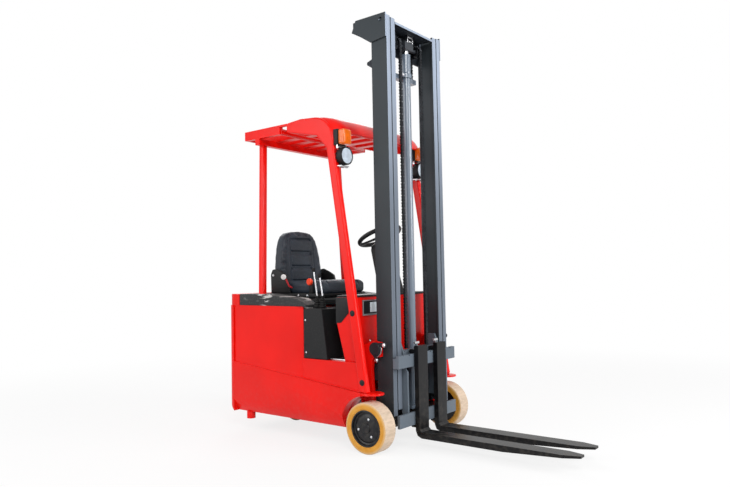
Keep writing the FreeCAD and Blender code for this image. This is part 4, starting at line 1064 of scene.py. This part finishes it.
def seat():
    """Backrest with bolsters and a centre insert of two channels, cushion with a front roll."""
    low, high = node_box("seat_back")
    back_lean = math.radians(4)
    foot = Vector((-965, 0, 905))
    thick = 74.0
    tall = high.z - foot.z - 8
    outline = [(-184, 4), (-204, 22), (-213, 60), (-212, 150), (-203, 225), (-188, 290), (-168, 345),
               (-148, 374), (-118, 396), (-78, 405), (0, tall)]
    outline += [(-a, b) for a, b in outline[-2::-1]]
    lean = Matrix.Translation(foot) @ Matrix.Rotation(-back_lean, 4, "Y")
    form = Form().prism(outline, "YZ", 6, thick + 6, 18, 4, lean)
    back = cloth_pad("seat_backrest", form, 0.010)
    upright = lean.inverted()

    def back_sink(point, normal):
        local = upright @ point
        facing = max(0.0, normal.x)
        sink = 0.0
        for z in (300, 198, 96):
            line = box_distance(local.y, local.z, (0, z), (100, 44), 14)
            sink += groove(line, 4.5, 13)
            if abs(local.y) < 100:
                sink += groove(local.z - z - 34, 3.5, 4)
        border = abs(abs(local.y) - (122 - local.z * 0.03))
        if 30 < local.z < 352:
            sink += groove(border, 7, 7)
        sink += 9.0 * math.exp(-(local.y / 128) ** 6) * math.exp(-((local.z - 190) / 185) ** 6)
        return sink * facing

    sew(back, back_sink)
    finish_pad(back, "hood", "seat_back")
    low, high = node_box("seat_cushion")
    inset = 7.0
    form = Form().block((low.x + inset, low.y + inset, low.z + 2), (high.x - inset, high.y - inset, high.z - inset), 24, 4)
    cushion = cloth_pad("seat_pad", form, 0.010)
    middle_x = (low.x + high.x) / 2

    def cushion_sink(point, normal):
        facing = max(0.0, normal.z)
        sink = 0.0
        if abs(point.y) < 150:
            for k in (-1, 0, 1):
                sink += groove(point.x - middle_x - 75 * k, 6, 7)
        sink += groove(abs(point.y) - 152, 7, 9)
        sink += groove(point.x - (high.x - 78), 7, 9)
        sink += 10.0 * math.exp(-(point.y / 130) ** 4) * math.exp(-((point.x - middle_x + 30) / 150) ** 4)
        return sink * facing

    sew(cushion, cushion_sink)
    finish_pad(cushion, "hood", "seat_cushion")
    seat_fittings()


def seat_fittings():
    """Moulded tray and side shields of the seat, tag, hinge lever, knob, bolts and belt buckle."""
    tray = Form()
    tray.block((-960, -246, 853), (-530, 246, 884), 9, 3)
    shield = [(-955, 884), (-958, 1010), (-942, 1042), (-905, 1048), (-850, 1024), (-806, 1000), (-794, 956),
              (-776, 884)]
    for side in SIDES:
        tray.prism(shield, "XZ", side * 228, side * 246, 6, 3)
        tray.block((-950, min(side * 196, side * 230), 968), (-920, max(side * 196, side * 230), 1020), 4)
    buckle = [(-640, 958), (-612, 1000), (-600, 1002), (-560, 964)]
    tray.prism(buckle, "XZ", 150, 176, 3)
    piece("seat_tray", tray, plastic, "hood")
    tag = [(-832 + 24 * math.cos(a), 992 + 18 * math.sin(a)) for a in (math.pi * k / 12 for k in range(24))]
    piece("seat_tag", Form().prism(tag, "XZ", -246, -249, 0.8), white_tag, "hood")
    lever = Form().sweep([(-806, -250, 975), (-792, -252, 955), (-776, -252, 930), (-752, -252, 922)], 6, 12)
    piece("seat_hinge_lever", lever, hinge_red, "hood")
    knob = Form().turned([(0, 0), (17, 0), (22, 5), (22, 17), (17, 22), (0, 22)], (-596, -238, 958), (0, -1, 0), 32)
    piece("seat_knob", knob, orange, "hood")
    stem = Form().turned([(0, -14), (8, -14), (8, 2), (0, 2)], (-596, -238, 958), (0, -1, 0), 20)
    stem.block((-612, -240, 880), (-580, -226, 966), 3)
    piece("seat_knob_stem", stem, plastic, "hood")
    bolts = Form()
    for place in ((-621, -246, 870), (-930, -246, 1004), (-700, -246, 870), (-900, -246, 870)):
        bolts.bolt(place, (0, -1, 0), 7)
    piece("seat_bolts", bolts, steel, "hood")


camera()
studio()
for side, name in zip(SIDES, ("right", "left")):
    front_wheel(side, name)
steering_wheel()
levers()
lamps()
chains()
trunnion_caps()
mast_top()
guard()
fenders()
fittings()
seat()
